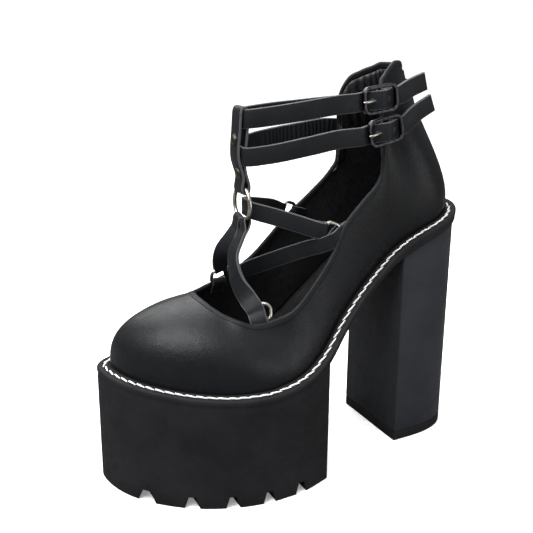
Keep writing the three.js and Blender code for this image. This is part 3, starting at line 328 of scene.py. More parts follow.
# Camera: place in metres, azimuth, elevation and roll in degrees, lens and sensor in millimetres
CAMERA = {
    "place": (0.34643, -0.1966, 0.240484), "azimuth": 62.568, "elevation": 14.916, "roll": 0.428,
    "lens": 50.28, "sensor": 36, "shift_y": -0.0696, "near": 0.01, "far": 50,
}
# Lights in metres and watts: place, aim, width, power
LIGHTS = {
    "softbox_far_side": ((-0.8, 0, 0.95), (0, -0.03, 0.1), 0.9, 12),
    "softbox_overhead": ((0.14, -0.5, 0.8), (0, -0.05, 0.08), 0.7, 14),
    "softbox_near_side": ((0.7, 0.45, 0.12), (0, 0.1, 0.1), 0.6, 3.6),
    "ceiling": ((-0.5, 0.1, 2.6), (0, 0.1, 0), 3, 26),
}
FLOOR_HALF = 6
# The light that the floor gives back, its glow where it is seen, and the surround's light low and high up
STAGE = {"floor_bounce": 0.15, "floor_glow": 0.22, "surround_low": 0.05, "surround_high": 1.3}


def linear(hex_value):
    """The linear colour of an sRGB hex value such as 17181b."""
    part = np.array([int(hex_value[i:i + 2], 16) for i in (0, 2, 4)]) / 255
    return tuple(float(v) for v in np.where(part <= 0.04045, part / 12.92, ((part + 0.055) / 1.055) ** 2.4))


def tint(name, description, hex_value):
    """A colour that the user can change."""
    return FloatVectorProperty(
        name=name, description=description, subtype="COLOR", size=3, min=0, max=1, default=linear(hex_value)
    )


def size(name, description, millimetres):
    """A length that the user can change, held in metres."""
    return FloatProperty(name=name, description=description, unit="LENGTH", min=0, default=millimetres / 1000)


class ShoeSizes(bpy.types.PropertyGroup):
    """Sizes of the fine detail."""

    stitch_pitch: size("Welt stitch pitch", "Distance from one welt stitch to the next", 5.5)
    stitch_length: size("Welt stitch length", "Length of one welt stitch", 7)
    thread: size("Welt thread", "Thickness of the welt's thread", 1.15)
    groove_inset: size("Stitch groove", "Distance of the stitches from the sole's edge", 4)
    leather: size("Upper leather", "Thickness of the upper's outer leather", 1.1)
    lining: size("Lining", "Thickness of the lining", 0.6)
    binding: size("Topline binding", "Depth of the binding on the opening's edge", 2.2)
    padding: size("Collar padding", "Fullness of the collar's padding", 3)
    strap_layer: size("Strap layer", "Thickness of one layer of a doubled strap", 0.95)
    strap_round: size("Strap edge", "Radius of a strap's edges", 0.4)


class ShoeColours(bpy.types.PropertyGroup):
    """Colours of the materials."""

    # The upper's leather; the straps take it made lighter, as painted light
    leather: tint("Leather", "Smooth coated leather of the upper and straps", "0e0f11")
    # Paler than the leather: partly the cut edge's own tone, partly a painted highlight where light catches
    # the edges
    cut_edge: tint("Cut edge", "Unpainted edge of a cut strap", "434446")
    lining: tint("Lining", "Lining and padding", "0b0b0d")
    rubber: tint("Platform rubber", "Moulded rubber of the sole", "19191b")
    heel: tint("Heel cover", "Leather wrapped round the heel", "26272b")
    gunmetal: tint("Gunmetal", "Plated buckles and zip", "303034")
    nickel: tint("Nickel", "Rings and rivets", "b3ada2")
    rivet: tint("Rivet", "Aged rivet heads", "57524a")
    thread: tint("Thread", "Welt stitches", "e6e6e0")
    floor: tint("Floor", "Studio floor", "fbfbf9")


def mm(length):
    """A property's metres in millimetres."""
    return length * 1000


def to_frame(points):
    """Shoe millimetres to metres in the frame."""
    return (points - MIDDLE) / 1000


# Curves and outlines


def through(at, value):
    """A cubic between each two rows of a table, whose slopes are weighted means of the steps beside a row,
    held to three times the smaller step and to nothing at a peak, so that the curve never swings past a
    row."""
    at, value = np.asarray(at, float), np.asarray(value, float)
    wide = np.diff(at)
    chord = np.diff(value) / wide
    mean = (chord[:-1] * wide[1:] + chord[1:] * wide[:-1]) / (wide[:-1] + wide[1:])
    limit = 3 * np.minimum(np.abs(chord[:-1]), np.abs(chord[1:]))
    inner = np.where(chord[:-1] * chord[1:] <= 0, 0, np.sign(mean) * np.minimum(np.abs(mean), limit))
    slope = np.concatenate([chord[:1], inner, chord[-1:]])

    def track(x):
        """The cubic of the span that x is in, held at the table's ends."""
        i = np.clip(np.searchsorted(at, x) - 1, 0, len(at) - 2)
        h = at[i + 1] - at[i]
        t = np.clip((x - at[i]) / h, 0, 1)
        a, b = t * t * (3 - 2 * t), t * (1 - t)
        return value[i] * (1 - a) + value[i + 1] * a + h * b * (slope[i] * (1 - t) - slope[i + 1] * t)

    return track


outer_plan = through(PLAN[:, 0], PLAN[:, 1])
inner_plan = through(PLAN[:, 0], PLAN[:, 2])
level = through(LEVEL[:, 0], LEVEL[:, 1])


def smoothstep(x, low, high):
    """0 below low, 1 above high, and the cubic 3t^2 - 2t^3 between them."""
    t = np.clip((x - low) / (high - low), 0, 1)
    return t * t * (3 - 2 * t)


def rounded_end(distance, reach, power):
    """Share of the full width at a distance into an end rounded as a superellipse."""
    q = np.clip(1 - distance / reach, 0, 1)
    return (1 - q ** power) ** (1 / power)


def unit(v):
    """Vectors divided by their lengths."""
    return v / np.linalg.norm(v, axis=-1, keepdims=True)


def distances(points):
    """How far each point of a path lies along it."""
    return np.concatenate([[0], np.cumsum(np.linalg.norm(np.diff(points, axis=0), axis=1))])


def sampled(at, far, rows):
    """The rows' values at distances, in a straight line between the distances of the rows themselves."""
    return np.stack([np.interp(at, far, column) for column in rows.T], -1)


def edge_at(angle):
    """x and s of the sole's edge for an angle: 0 at the toe, pi at the back, negative on the inner side."""
    s = LENGTH / 2 * (1 - np.cos(angle))
    outer = np.sin(angle) >= 0
    plan = np.where(outer, outer_plan(s), inner_plan(s))
    toe = np.where(
        outer,
        rounded_end(s, TOE["outer_reach"], TOE["outer_power"]),
        rounded_end(s, TOE["inner_reach"], TOE["inner_power"]),
    )
    front = TOE["x"] + (plan - TOE["x"]) * toe
    x = SEAT["x"] + (front - SEAT["x"]) * rounded_end(LENGTH - s, SEAT["reach"], SEAT["power"])
    return np.stack([x, s], -1)


def inset_at(angle, inset):
    """The sole's edge moved inward square to itself."""
    step = 0.004
    along = unit(edge_at(angle + step) - edge_at(angle - step))
    inward = np.stack([-along[..., 1], along[..., 0]], -1)
    return edge_at(angle) + inward * np.asarray(inset)[..., None]


def angle_of(s):
    """The angle of edge_at whose station is s."""
    return np.arccos(1 - 2 * np.asarray(s, float) / LENGTH)


def stations(count):
    """Angles round the loop, each with its mirror on the other side."""
    outer = np.pi * (np.arange(count) + 0.5) / count
    return np.concatenate([outer, -outer[::-1]])


def underside(s):
    """Height of the slab's underside, which grows thicker under the heel's seat."""
    share = smoothstep(s, WAIST["seat_start"], WAIST["seat_full"])
    return level(s) - (WAIST["thick"] + (WAIST["seat_thick"] - WAIST["thick"]) * share)


def sole_top(s):
    """Height of the slab's top, a gap under the welt."""
    return level(s) - WELT_THICK - GAP


def sole_loop(angles, inset, height):
    """Points of the sole's edge at an inset, at the height that height(s) gives."""
    flat = inset_at(angles, inset)
    return np.concatenate([flat, height(flat[:, 1])[:, None]], -1)


def sole_loops(angles, rows, height):
    """A loop for each row of (inset, height over height(s))."""
    return [sole_loop(angles, inset, lambda s, up=up: height(s) + up) for inset, up in rows]


def curve_through(rows, spacing):
    """A centripetal curve through rows of x, s, z: each span is a cubic whose ends slope as the neighbours
    pull, weighted by the root of their distances. Returned at an even spacing, with the rows' other
    columns."""
    rows = np.asarray(rows, float)
    p = rows[:, :3]
    p = np.concatenate([2 * p[:1] - p[1:2], p, 2 * p[-1:] - p[-2:-1]])
    reach = np.maximum(np.linalg.norm(np.diff(p, axis=0), axis=1) ** 0.5, 1e-4)[:, None]
    before, here, after = reach[:-2], reach[1:-1], reach[2:]
    p0, p1, p2, p3 = p[:-3], p[1:-2], p[2:-1], p[3:]
    leave = here * ((p1 - p0) / before - (p2 - p0) / (before + here) + (p2 - p1) / here)
    arrive = here * ((p2 - p1) / here - (p3 - p1) / (here + after) + (p3 - p2) / after)
    dense = np.linspace(0, len(rows) - 1, 60 * len(rows))
    i = np.minimum(dense.astype(int), len(rows) - 2)
    t = (dense - i)[:, None]
    point = p1[i] + leave[i] * t + (3 * (p2 - p1) - 2 * leave - arrive)[i] * t ** 2
    point += (2 * (p1 - p2) + leave + arrive)[i] * t ** 3
    far = distances(point)
    even = np.linspace(0, far[-1], max(int(far[-1] / spacing), 3) + 1)
    at = np.interp(even, far, dense)
    path = sampled(even, far, point)
    rest = np.stack([through(np.arange(len(rows)), rows[:, k])(at) for k in range(3, rows.shape[1])], -1)
    return path, rest, even


# Skins over sections


def skin(sections, closed=False, part=0):
    """Quads between neighbouring sections, where each section is a closed loop of points. Open ends are
    filled with strips from each point to its mirror in the loop. The faces are turned outward by the sign
    of the volume. part is the material's place, one for all or one for each side of the loop."""
    rows, columns = sections.shape[:2]
    points = sections.reshape(-1, 3)
    i, j = np.meshgrid(np.arange(rows if closed else rows - 1), np.arange(columns), indexing="ij")
    below, beside = (i + 1) % rows, (j + 1) % columns
    quads = np.stack([
        i * columns + j, i * columns + beside, below * columns + beside, below * columns + j,
    ], -1).reshape(-1, 4)
    parts = np.broadcast_to(np.broadcast_to(part, columns), i.shape).reshape(-1)
    if not closed:
        j = np.arange(columns // 2 - 1)
        cap = np.stack([j + 1, j, columns - 1 - j, columns - 2 - j], -1)
        quads = np.concatenate([quads, cap, cap[:, ::-1] + (rows - 1) * columns])
        parts = np.concatenate([parts, np.full(2 * len(cap), parts[0])])
    a, b, c, d = points[quads].transpose(1, 0, 2)
    volume = np.sum(a * np.cross(b, c)) + np.sum(a * np.cross(c, d))
    return points, quads if volume > 0 else quads[:, ::-1], parts


def ways_along(path, across, closed=False):
    """Unit ways along a path, across it and out of it, each square to the others. Along is the difference
    of a point's two neighbours."""
    along = unit(np.roll(path, -1, 0) - np.roll(path, 1, 0) if closed else np.gradient(path, axis=0))
    across = unit(across - np.sum(across * along, -1, keepdims=True) * along)
    return along, across, np.cross(across, along)


def sweep(path, across, profile, closed=False, part=0):
    """A profile of (across, outward) points carried along a path."""
    _, across, out = ways_along(path, across, closed)
    profile = np.broadcast_to(profile, (len(path), *np.shape(profile)[-2:]))
    sections = path[:, None] + profile[..., :1] * across[:, None] + profile[..., 1:] * out[:, None]
    return skin(sections, closed, part)


def lathed(centre, first, second, out, rows, sides, closed=False):
    """A lathed shape: a circle of the two first ways for each row of (radius, height along out)."""
    turn = 2 * np.pi * np.arange(sides) / sides
    plane = np.cos(turn)[:, None] * first + np.sin(turn)[:, None] * second
    sections = np.array([centre + radius * plane + height * out for radius, height in rows])
    return skin(sections.transpose(1, 0, 2) if closed else sections, closed)


def bar_profile(width, thick, radius, steps=EDGE_STEPS):
    """A rectangle with rounded corners, as (across, outward) points, one loop for each width. The loop
    starts in the middle of a corner's turn so that each point has a mirror."""
    width = np.atleast_1d(width)[:, None]
    turn = np.pi / 2 * np.arange(steps + 1) / steps
    quarter = np.concatenate([turn + k * np.pi / 2 for k in range(4)])
    a = np.repeat([1, -1, -1, 1], steps + 1) * (width / 2 - radius) + radius * np.cos(quarter)
    n = np.repeat([1, 1, -1, -1], steps + 1) * (thick / 2 - radius) + radius * np.sin(quarter) + 0 * width
    return np.stack([a, n], -1)


def flanks():
    """The sides of a bar profile's loop, part 1 where they belong to its two narrow edges."""
    # Part 1 takes the pale edge material, partly a painted highlight along the narrow edges
    part = np.ones(4 * (EDGE_STEPS + 1), int)
    part[[EDGE_STEPS, 3 * EDGE_STEPS + 2]] = 0
    return part


def round_profile(radius, sides=16):
    """A circle as (across, outward) points."""
    turn = 2 * np.pi * (np.arange(sides) + 0.5) / sides
    return np.stack([radius * np.cos(turn), radius * np.sin(turn)], -1)


def ring_ways(ring):
    """A ring's middle and its two ways, the second made square to the first."""
    u = unit(np.array(ring["u"], float))
    v = np.array(ring["v"], float)
    return np.array(ring["centre"], float), u, unit(v - (v @ u) * u)


def ring_path(ring, turns):
    """A loop with rounded corners in the plane of the ring's two ways: quarter turns round four centres."""
    centre, u, v = ring_ways(ring)
    steps = turns + (0 if ring["half_u"] == ring["corner"] else 1)
    turn = np.pi / 2 * (np.arange(4)[:, None] + np.arange(steps) / turns)
    side = np.array([[1, 1], [-1, 1], [-1, -1], [1, -1]])
    mid = side * (ring["half_u"] - ring["corner"], ring["half_v"] - ring["corner"])
    a = (mid[:, :1] + ring["corner"] * np.cos(turn)).reshape(-1, 1)
    b = (mid[:, 1:] + ring["corner"] * np.sin(turn)).reshape(-1, 1)
    return centre + a * u + b * v, np.cross(u, v)


def ring_wire(ring, wire, turns):
    """A ring's round wire, carried round its loop."""
    path, normal = ring_path(ring, turns)
    return sweep(path, normal, round_profile(wire), True)


def make(name, skins, materials, slot, node=None, body="shoe", sharp=38):
    """One object from several skins, smooth but for edges sharper than the given angle. It stands for the
    node."""
    points = np.concatenate([to_frame(s[0]) for s in skins])
    start = np.cumsum([0] + [len(s[0]) for s in skins[:-1]])
    quads = np.concatenate([s[1] + first for s, first in zip(skins, start)])
    mesh = bpy.data.meshes.new(name)
    mesh.from_pydata(points.tolist(), [], quads.tolist())
    for material in materials:
        mesh.materials.append(material)
    mesh.polygons.foreach_set("material_index", np.concatenate([s[2] for s in skins]).astype(np.int32))
    mesh.shade_smooth()
    mesh.set_sharp_from_angle(angle=math.radians(sharp))
    mesh.update()
    piece = bpy.data.objects.new(name, mesh)
    bpy.context.scene.collection.objects.link(piece)
    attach(piece, body)
    if node:
        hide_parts(node)
    return piece


# Upper's surface


def upper_tracks():
    """Each column of the upper's table against the angle round the shoe, right round the back."""
    rows = [BACK_ROW, *INNER_ROWS[::-1], TOE_ROW, *OUTER_ROWS, BACK_ROW]
    inner = [-angle_of(row[0]) for row in INNER_ROWS[::-1]]
    angles = [-np.pi, *inner, 0, *[angle_of(row[0]) for row in OUTER_ROWS], np.pi]
    return [through(angles, [row[k] for row in rows]) for k in range(1, 9)]


UPPER_TRACKS = upper_tracks()


def upper_point(angle, rise):
    """A point of the upper's outer face: a cubic Bezier curve from the welt, up by the lean and the rise,
    to the opening, where it arrives along the table's last three columns."""
    angle, rise = np.broadcast_arrays(np.asarray(angle, float), np.asarray(rise, float))
    turned = (angle + np.pi) % (2 * np.pi) - np.pi
    x, s, z, lean, up, dx, ds, dz = (track(turned) for track in UPPER_TRACKS)
    foot = inset_at(turned, UPPER_INSET)
    out = inset_at(turned, UPPER_INSET - lean)
    base = level(foot[..., 1]) + GAP
    start = np.stack([foot[..., 0], foot[..., 1], base], -1)
    first = np.stack([out[..., 0], out[..., 1], base + up], -1)
    end = np.stack([x, s, z], -1)
    second = end - np.stack([dx, ds, dz], -1)
    t = rise[..., None]
    return (1 - t) ** 3 * start + 3 * t * (1 - t) ** 2 * first + 3 * t ** 2 * (1 - t) * second + t ** 3 * end


def upper_frame(angle, rise):
    """The point, the way out of the leather and the way up along it."""
    step = 0.01
    low, high = np.clip(rise - step, 0, 1), np.clip(rise + step, 0, 1)
    round_ = upper_point(angle + step, rise) - upper_point(angle - step, rise)
    up = unit(upper_point(angle, high) - upper_point(angle, low))
    return upper_point(angle, rise), unit(np.cross(round_, up)), up


def upper_face(angle, rise, depth):
    """The upper's surface moved inward by a depth."""
    point, out, _ = upper_frame(angle, rise)
    return point - out * np.asarray(depth)[..., None]


# Materials


def add_node(tree, kind, settings=None, links=None):
    """Adds a node, sets its inputs or attributes by name or place, and links its inputs to other nodes'
    outputs."""
    node = tree.nodes.new(kind)
    for key, value in (settings or {}).items():
        if isinstance(key, int) or key in node.inputs:
            node.inputs[key].default_value = value
        else:
            setattr(node, key, value)
    for key, socket in (links or {}).items():
        tree.links.new(socket, node.inputs[key])
    return node


def shade(base, factor):
    """A colour made lighter or darker by a factor."""
    return tuple(min(1, v * factor) for v in base)


# Kinds of texture: the node and its output
TEXTURES = {
    "noise": ("ShaderNodeTexNoise", "Fac"),
    "cells": ("ShaderNodeTexVoronoi", "Distance"),
    "bands": ("ShaderNodeTexWave", "Fac"),
}
RANGE = ("From Min", "From Max", "To Min", "To Max")
# Most of a noise's values lie between these
SPAN = (0.3, 0.7)


def empty_tree(owner):
    """The node tree of a new material or surround, with nothing in it."""
    owner.use_nodes = True
    owner.node_tree.nodes.clear()
    return owner.node_tree


def finish(name, colours, textures, ranges, depths, sockets):
    """A material on the object's own coordinates. A texture is a kind, the size of its feature in
    millimetres and its settings. Ranges carry a texture's values to a socket, of which Base Color mixes
    the two colours. Depths are heights of textures in millimetres, stacked on each other. Sockets are the
    same all over."""
    material = bpy.data.materials.new(name)
    tree = empty_tree(material)
    place = add_node(tree, "ShaderNodeTexCoord").outputs["Object"]
    made = {}
    for key, (kind, millimetres, settings) in textures.items():
        node, output = TEXTURES[kind]
        settings = {"Scale": 1000 / millimetres, **settings}
        made[key] = add_node(tree, node, settings, {"Vector": place}).outputs[output]
    links = {}
    for socket, (key, *numbers) in ranges.items():
        settings = dict(zip(RANGE, numbers))
        links[socket] = add_node(tree, "ShaderNodeMapRange", settings, {"Value": made[key]}).outputs["Result"]
    first, second = ((*colour, 1) for colour in colours)
    settings = {"data_type": "RGBA", 6: first, 7: second}
    links["Base Color"] = add_node(tree, "ShaderNodeMix", settings, {0: links["Base Color"]}).outputs[2]
    for key, depth in depths.items():
        heights = {"Height": made[key], **({"Normal": links["Normal"]} if "Normal" in links else {})}
        settings = {"Strength": 1, "Distance": depth / 1000}
        links["Normal"] = add_node(tree, "ShaderNodeBump", settings, heights).outputs["Normal"]
    shader = add_node(tree, "ShaderNodeBsdfPrincipled", sockets, links)
    add_node(tree, "ShaderNodeOutputMaterial", links={"Surface": shader.outputs["BSDF"]})
    return material


def coated_leather(name, base, roughness, gloss):
    """Smooth leather with a pigmented coat: an even satin sheen over pores too small to see, a little
    wavy."""
    return finish(
        name, (base, shade(base, 1.5)),
        {
            "cloud": ("noise", 26, {"Detail": 4}), "patch": ("noise", 5, {"Detail": 5}),
            "wave": ("noise", 9, {"Detail": 2}), "grain": ("noise", 2.2, {"Detail": 5, "Roughness": 0.65}),
            "pores": ("cells", 0.7, {"Randomness": 1}),
        },
        {
            "Base Color": ("cloud", *SPAN, 0, 1),
            "Roughness": ("patch", *SPAN, roughness - 0.05, roughness + 0.08),
        },
        {"wave": 0.1, "grain": 0.16, "pores": 0.05},
        {"IOR": 1.5, "Specular IOR Level": gloss},
    )


def edge_leather_highlighted(base):
    """Leather's cut edge: matt, fibrous and paler than its coated face, partly its own raw tone and partly a
    painted highlight where light catches the edge.
    """
    return finish(
        "leather_cut_edge", (shade(base, 0.7), base), {"fibre": ("noise", 1.2, {"Detail": 4})},
        {"Base Color": ("fibre", *SPAN, 0, 1), "Roughness": ("fibre", *SPAN, 0.55, 0.75)},
        {"fibre": 0.05}, {},
    )


def soft_lining(base):
    """Thin glove leather, pasted in: soft, matt, with fine creases."""
    return finish(
        "leather_lining_soft", (base, shade(base, 2)),
        {
            "crease": ("noise", 4, {"Detail": 5, "Roughness": 0.6}), "patch": ("noise", 2, {"Detail": 3}),
            "grain": ("noise", 0.8, {"Detail": 2}),
        },
        {"Base Color": ("crease", *SPAN, 0, 1), "Roughness": ("patch", *SPAN, 0.36, 0.52)},
        {"crease": 0.35, "grain": 0.04}, {"Specular IOR Level": 0.4},
    )


def moulded_rubber(base):
    """Expanded rubber from a mould: matt and even, with faint rubbed marks and a fine eggshell skin."""
    return finish(
        "rubber_moulded_matt", (base, shade(base, 1.7)),
        {
            "rubbed": ("noise", 30, {"Detail": 6, "Roughness": 0.65}), "patch": ("noise", 4, {"Detail": 5}),
            "skin": ("noise", 0.9, {"Detail": 3}), "swell": ("noise", 14, {"Detail": 3}),
        },
        {"Base Color": ("rubbed", 0.4, 0.75, 0, 1), "Roughness": ("patch", *SPAN, 0.62, 0.8)},
        {"skin": 0.06, "swell": 0.12}, {"IOR": 1.52, "Specular IOR Level": 0.09},
    )


def plated_metal(name, base, roughness, worn):
    """Cast zinc, polished and plated: bright, with the plating dulled in small patches."""
    return finish(
        name, (base, shade(base, worn)),
        {"dull": ("noise", 1.8, {"Detail": 4}), "swell": ("noise", 2.5, {"Detail": 2})},
        {
            "Base Color": ("dull", *SPAN, 0, 1),
            "Roughness": ("dull", *SPAN, roughness, roughness + 0.16),
        },
        {"swell": 0.02}, {"Metallic": 1},
    )


def waxed_thread(base):
    """Thick waxed thread, twisted: pale, softly shining, with the twist crossing it."""
    return finish(
        "thread_waxed_twisted", (shade(base, 0.72), base), {"twist": ("noise", 0.5, {"Detail": 2})},
        {"Base Color": ("twist", *SPAN, 0, 1)}, {"twist": 0.12}, {"Roughness": 0.55},
    )


def woven_tape(base):
    """Woven zip tape: dull, with its ribs 0.74 mm apart, which is pi / 10 of the bands' size."""
    return finish(
        "polyester_tape_woven", (base, shade(base, 2.2)),
        {"ribs": ("bands", 0.75 * math.pi, {"bands_direction": "Z"})},
        {"Base Color": ("ribs", 0, 1, 0, 1)}, {"ribs": 0.08}, {"Roughness": 0.8},
    )


def studio_floor(base):
    """Painted studio floor: pale and matt, lit from below where it is seen, and dim as a light on the
    shoe."""
    material = bpy.data.materials.new("paint_studio_matt")
    tree = empty_tree(material)
    seen = add_node(tree, "ShaderNodeLightPath").outputs["Is Camera Ray"]
    settings = {"data_type": "RGBA", 6: (*shade(base, STAGE["floor_bounce"]), 1), 7: (*base, 1)}
    paint = add_node(tree, "ShaderNodeMix", settings, {0: seen}).outputs[2]
    settings = {"operation": "MULTIPLY", 1: STAGE["floor_glow"]}
    glow = add_node(tree, "ShaderNodeMath", settings, {0: seen}).outputs[0]
    shader = add_node(
        tree, "ShaderNodeBsdfPrincipled", {"Emission Color": (1, 1, 1, 1), "Roughness": 0.9},
        {"Base Color": paint, "Emission Strength": glow},
    )
    add_node(tree, "ShaderNodeOutputMaterial", links={"Surface": shader.outputs["BSDF"]})
    return material


MATERIALS = {}


def materials_of(context):
    """All the materials, made once."""
    if not MATERIALS:
        colours = context.scene.shoe_colours
        colour = {name: tuple(getattr(colours, name)) for name in ShoeColours.__annotations__}
        MATERIALS.update(
            leather=coated_leather("leather_coated_smooth", colour["leather"], 0.36, 0.17),
            # The straps, T-bar, tabs and binding take the upper's leather made 1.6 times lighter: a lit copy
            # of the same leather, painted light for the light that the straps catch
            strap=coated_leather("leather_strap_coated", shade(colour["leather"], 1.6), 0.48, 0.12),
            # Pale edges: partly the cut edge's own tone, partly a painted highlight
            edge=edge_leather_highlighted(colour["cut_edge"]),
            lining=soft_lining(colour["lining"]),
            rubber=moulded_rubber(colour["rubber"]),
            heel=coated_leather("leather_heel_wrapped", colour["heel"], 0.5, 0.12),
            gunmetal=plated_metal("zinc_gunmetal_plated", colour["gunmetal"], 0.2, 0.5),
            nickel=plated_metal("zinc_nickel_plated", colour["nickel"], 0.2, 0.7),
            rivet=plated_metal("brass_rivet_aged", colour["rivet"], 0.3, 0.5),
            thread=waxed_thread(colour["thread"]),
            tape=woven_tape(colour["lining"]),
            floor=studio_floor(colour["floor"]),
        )
    return MATERIALS


# Sole


def tread(s):
    """Height of the tread: nothing on a lug, and up a slope into each channel, with a little spring at the
    toe."""
    middle = LUGS["first"] + LUGS["pitch"] * np.arange(LUGS["count"])
    away = np.abs(s[:, None] - middle).min(1)
    share = np.clip((LUGS["mouth"] / 2 - away) / ((LUGS["mouth"] - LUGS["roof"]) / 2), 0, 1)
    spring = PLATFORM["spring"] * np.maximum(0, 1 - s / PLATFORM["spring_length"]) ** 2
    return LUGS["depth"] * share + spring


def platform_skin():
    """The block under the forefoot: loops round the sole's edge from the tread up into the slab, with
    stations on every corner of the channels, which run straight across."""
    middle = LUGS["first"] + LUGS["pitch"] * np.arange(LUGS["count"])
    corners = np.array([LUGS["mouth"] / 2, LUGS["roof"] / 2])
    corners = (middle[:, None] + np.concatenate([-corners, corners])).ravel()
    rear = PLATFORM["rear"]
    even = LENGTH / 2 * (1 - np.cos(np.linspace(0, angle_of(rear), PLATFORM["stations"])[1:-1]))
    even = even[np.abs(even[:, None] - corners).min(1) > PLATFORM["clear"]]
    s = np.sort(np.concatenate([[PLATFORM["tip"]], even, corners, [rear]]))
    angles = np.concatenate([angle_of(s), -angle_of(s)[::-1]])
    tread_of = tread(np.concatenate([s, s[::-1]]))
    flare, depth, side = PLATFORM["flare"], PLATFORM["flare_depth"], tread_of + PLATFORM_FOOT[-1][1]
    rings = sole_loops(angles, [(flare + inset, up) for inset, up in PLATFORM_FOOT], lambda s: tread_of)
    rings += [
        sole_loop(angles, flare, lambda s, f=f: side * (1 - f) + (level(s) - depth) * f)
        for f in PLATFORM_SIDE
    ]
    rings += sole_loops(angles, [(a * flare, -depth * b) for a, b in PLATFORM_NECK], level)
    rings.append(sole_loop(angles, PLATFORM["top_inset"], lambda s: (underside(s) + sole_top(s)) / 2))
    return skin(np.array(rings))


def slab_skin():
    """The slab that runs the whole length: loops from its underside to the welt, rounded over at both
    rims."""
    angles = stations(STATIONS["slab"])
    return skin(np.array(sole_loops(angles, SLAB_LOW, underside) + sole_loops(angles, SLAB_HIGH, sole_top)))


# Welt's section from its lower outer corner: inset, height over the welt's top
WELT_PROFILE = np.array([
    (0.4, -2.7), (-0.06, -2.6), (-0.04, -1.1), (0.1, -0.75), (0.35, -0.4), (0.75, -0.15), (1.3, -0.02),
    (2.6, 0.04), (2.95, 0), (3.15, -0.2), (3.4, -0.5), (4, -0.65), (4.6, -0.5), (4.85, -0.2), (5.05, 0.1),
    (5.35, 0.3), (5.8, 0.4), (6.25, 0.3), (6.5, 0.1), (6.7, -0.1), (7, -0.15), (8, -0.1), (9.6, -0.1),
    (9.6, -2),
])


def welt_skin():
    """The welt: one section with a stitch groove and a bead, carried round the sole's edge."""
    rings = np.array(sole_loops(stations(STATIONS["welt"]), WELT_PROFILE, level))
    return skin(rings.transpose(1, 0, 2), closed=True)


def stitch_skin(sizes):
    """Capsules laid end to end along the groove, each turned a little across it and bedded at its ends.
    One capsule is six-sided loops along its length, thin at its ends, which bend aside and sink."""
    angles = np.linspace(-np.pi, np.pi, STITCH["samples"] + 1)[:-1]
    path = sole_loop(angles, mm(sizes.groove_inset), level)
    loop = np.concatenate([path, path[:1]])
    far = distances(loop)
    count = int(round(far[-1] / mm(sizes.stitch_pitch)))
    pitch = far[-1] / count
    at = far[-1] * np.arange(count) / count
    before, centre, after = (
        sampled((at + shift) % far[-1], far, loop) for shift in (-pitch / 2, 0, pitch / 2)
    )
    way = unit(after - before)
    side = unit(np.cross(way, UPRIGHT))
    up = np.cross(side, way)
    cos, sin = math.cos(math.radians(STITCH["slant"])), math.sin(math.radians(STITCH["slant"]))
    way, side = way * cos + side * sin, side * cos - way * sin
    half, radius = mm(sizes.stitch_length) / 2, mm(sizes.thread) / 2
    share, thick = STITCH_ALONG[:, None], radius * STITCH_THICK[:, None]
    turn = 2 * np.pi * np.arange(STITCH["sides"]) / STITCH["sides"]
    local = np.stack([
        half * share + 0 * turn,
        thick * np.cos(turn) + radius * STITCH["bend"] * share ** 5,
        STITCH["flat"] * thick * np.sin(turn) + STITCH["sink"] * np.abs(share) ** 3,
    ], -1)
    centre = centre + up * STITCH["lift"]
    points = centre[:, None, None] + np.einsum("rck,skx->srcx", local, np.stack([way, side, up], 1))
    return [skin(one) for one in points]


def insole_skin():
    """The insole: loops inward over its top, a little lower in the middle as a worn footbed."""
    inset, above = INSOLE["inset"], INSOLE["above"]
    rows = [(inset, above - INSOLE["thick"])] + [(inset + more, above - down) for more, down in INSOLE_TOP]
    return skin(np.array(sole_loops(stations(STATIONS["insole"]), rows, level)))


def heel_loop(inset, height):
    """The heel's section: a flat breast with small rounded corners, straight sides and a superellipse
    back."""
    depth = HEEL["back"] - HEEL["breast"] - HEEL["straight"]
    turn = np.pi / 2 * np.arange(HEEL["turn_steps"] + 1) / HEEL["turn_steps"]
    power = 2 / HEEL["power"]
    x = np.cos(turn) ** power * (HEEL["half"] - inset)
    s = HEEL["breast"] + HEEL["straight"] + np.sin(turn) ** power * (depth - inset)
    corner, quarter = HEEL["corner"], np.pi / 2 * np.arange(HEEL["corner_steps"] + 1) / HEEL["corner_steps"]
    corner_x = HEEL["half"] - inset - corner * (1 - np.sin(quarter))
    corner_s = HEEL["breast"] + inset + corner * (1 - np.cos(quarter))
    x, s = np.concatenate([corner_x, x]), np.concatenate([corner_s, s])
    x[-1] = 0
    x, s = np.concatenate([x, -x[::-1]]) + SEAT["x"], np.concatenate([s, s[::-1]])
    return np.stack([x, s, height(s)], -1)


def heel_skins():
    """The heel block and the tip under it, each rounded over by a small radius at its rims."""
    tip, foot = HEEL["tip"], HEEL["tip"] + HEEL_FOOT[-1][1]
    block = [heel_loop(inset, lambda s, z=z: tip + z + 0 * s) for inset, z in HEEL_FOOT]
    block += [
        heel_loop(0, lambda s, f=f: foot * (1 - f) + (underside(s) - HEEL["gap"]) * f) for f in HEEL_SIDE
    ]
    lift = [heel_loop(inset, lambda s, z=z: z + 0 * s) for inset, z in TIP_SECTION]
    return skin(np.array(block)), skin(np.array(lift))


# Upper and lining


def shell_skin(sizes):
    """The outer leather: up its outer face, over the opening's edge and down its inner face, all round."""
    angles = stations(STATIONS["shell"])[:, None]
    rise = np.linspace(0, 1, SHELL["rows"])
    outer = upper_face(angles, rise[None], 0)
    inner = upper_face(angles, rise[None, ::3][:, ::-1], mm(sizes.leather))
    outer[:, 0, 2] -= SHELL["hem"]
    inner[:, -1, 2] -= SHELL["hem"]
    return skin(np.concatenate([outer, inner], 1), closed=True)


def lining_skin(sizes):
    """The lining: two faces under the leather, from the insole up to the binding."""
    angles = stations(STATIONS["lining"])[:, None]
    rise = np.linspace(LINING["low"], LINING["high"], LINING["rows"])[None]
    near = mm(sizes.leather) + LINING["gap"]
    faces = [upper_face(angles, rise, near), upper_face(angles, rise[:, ::-1], near + mm(sizes.lining))]
    return skin(np.concatenate(faces, 1), closed=True)


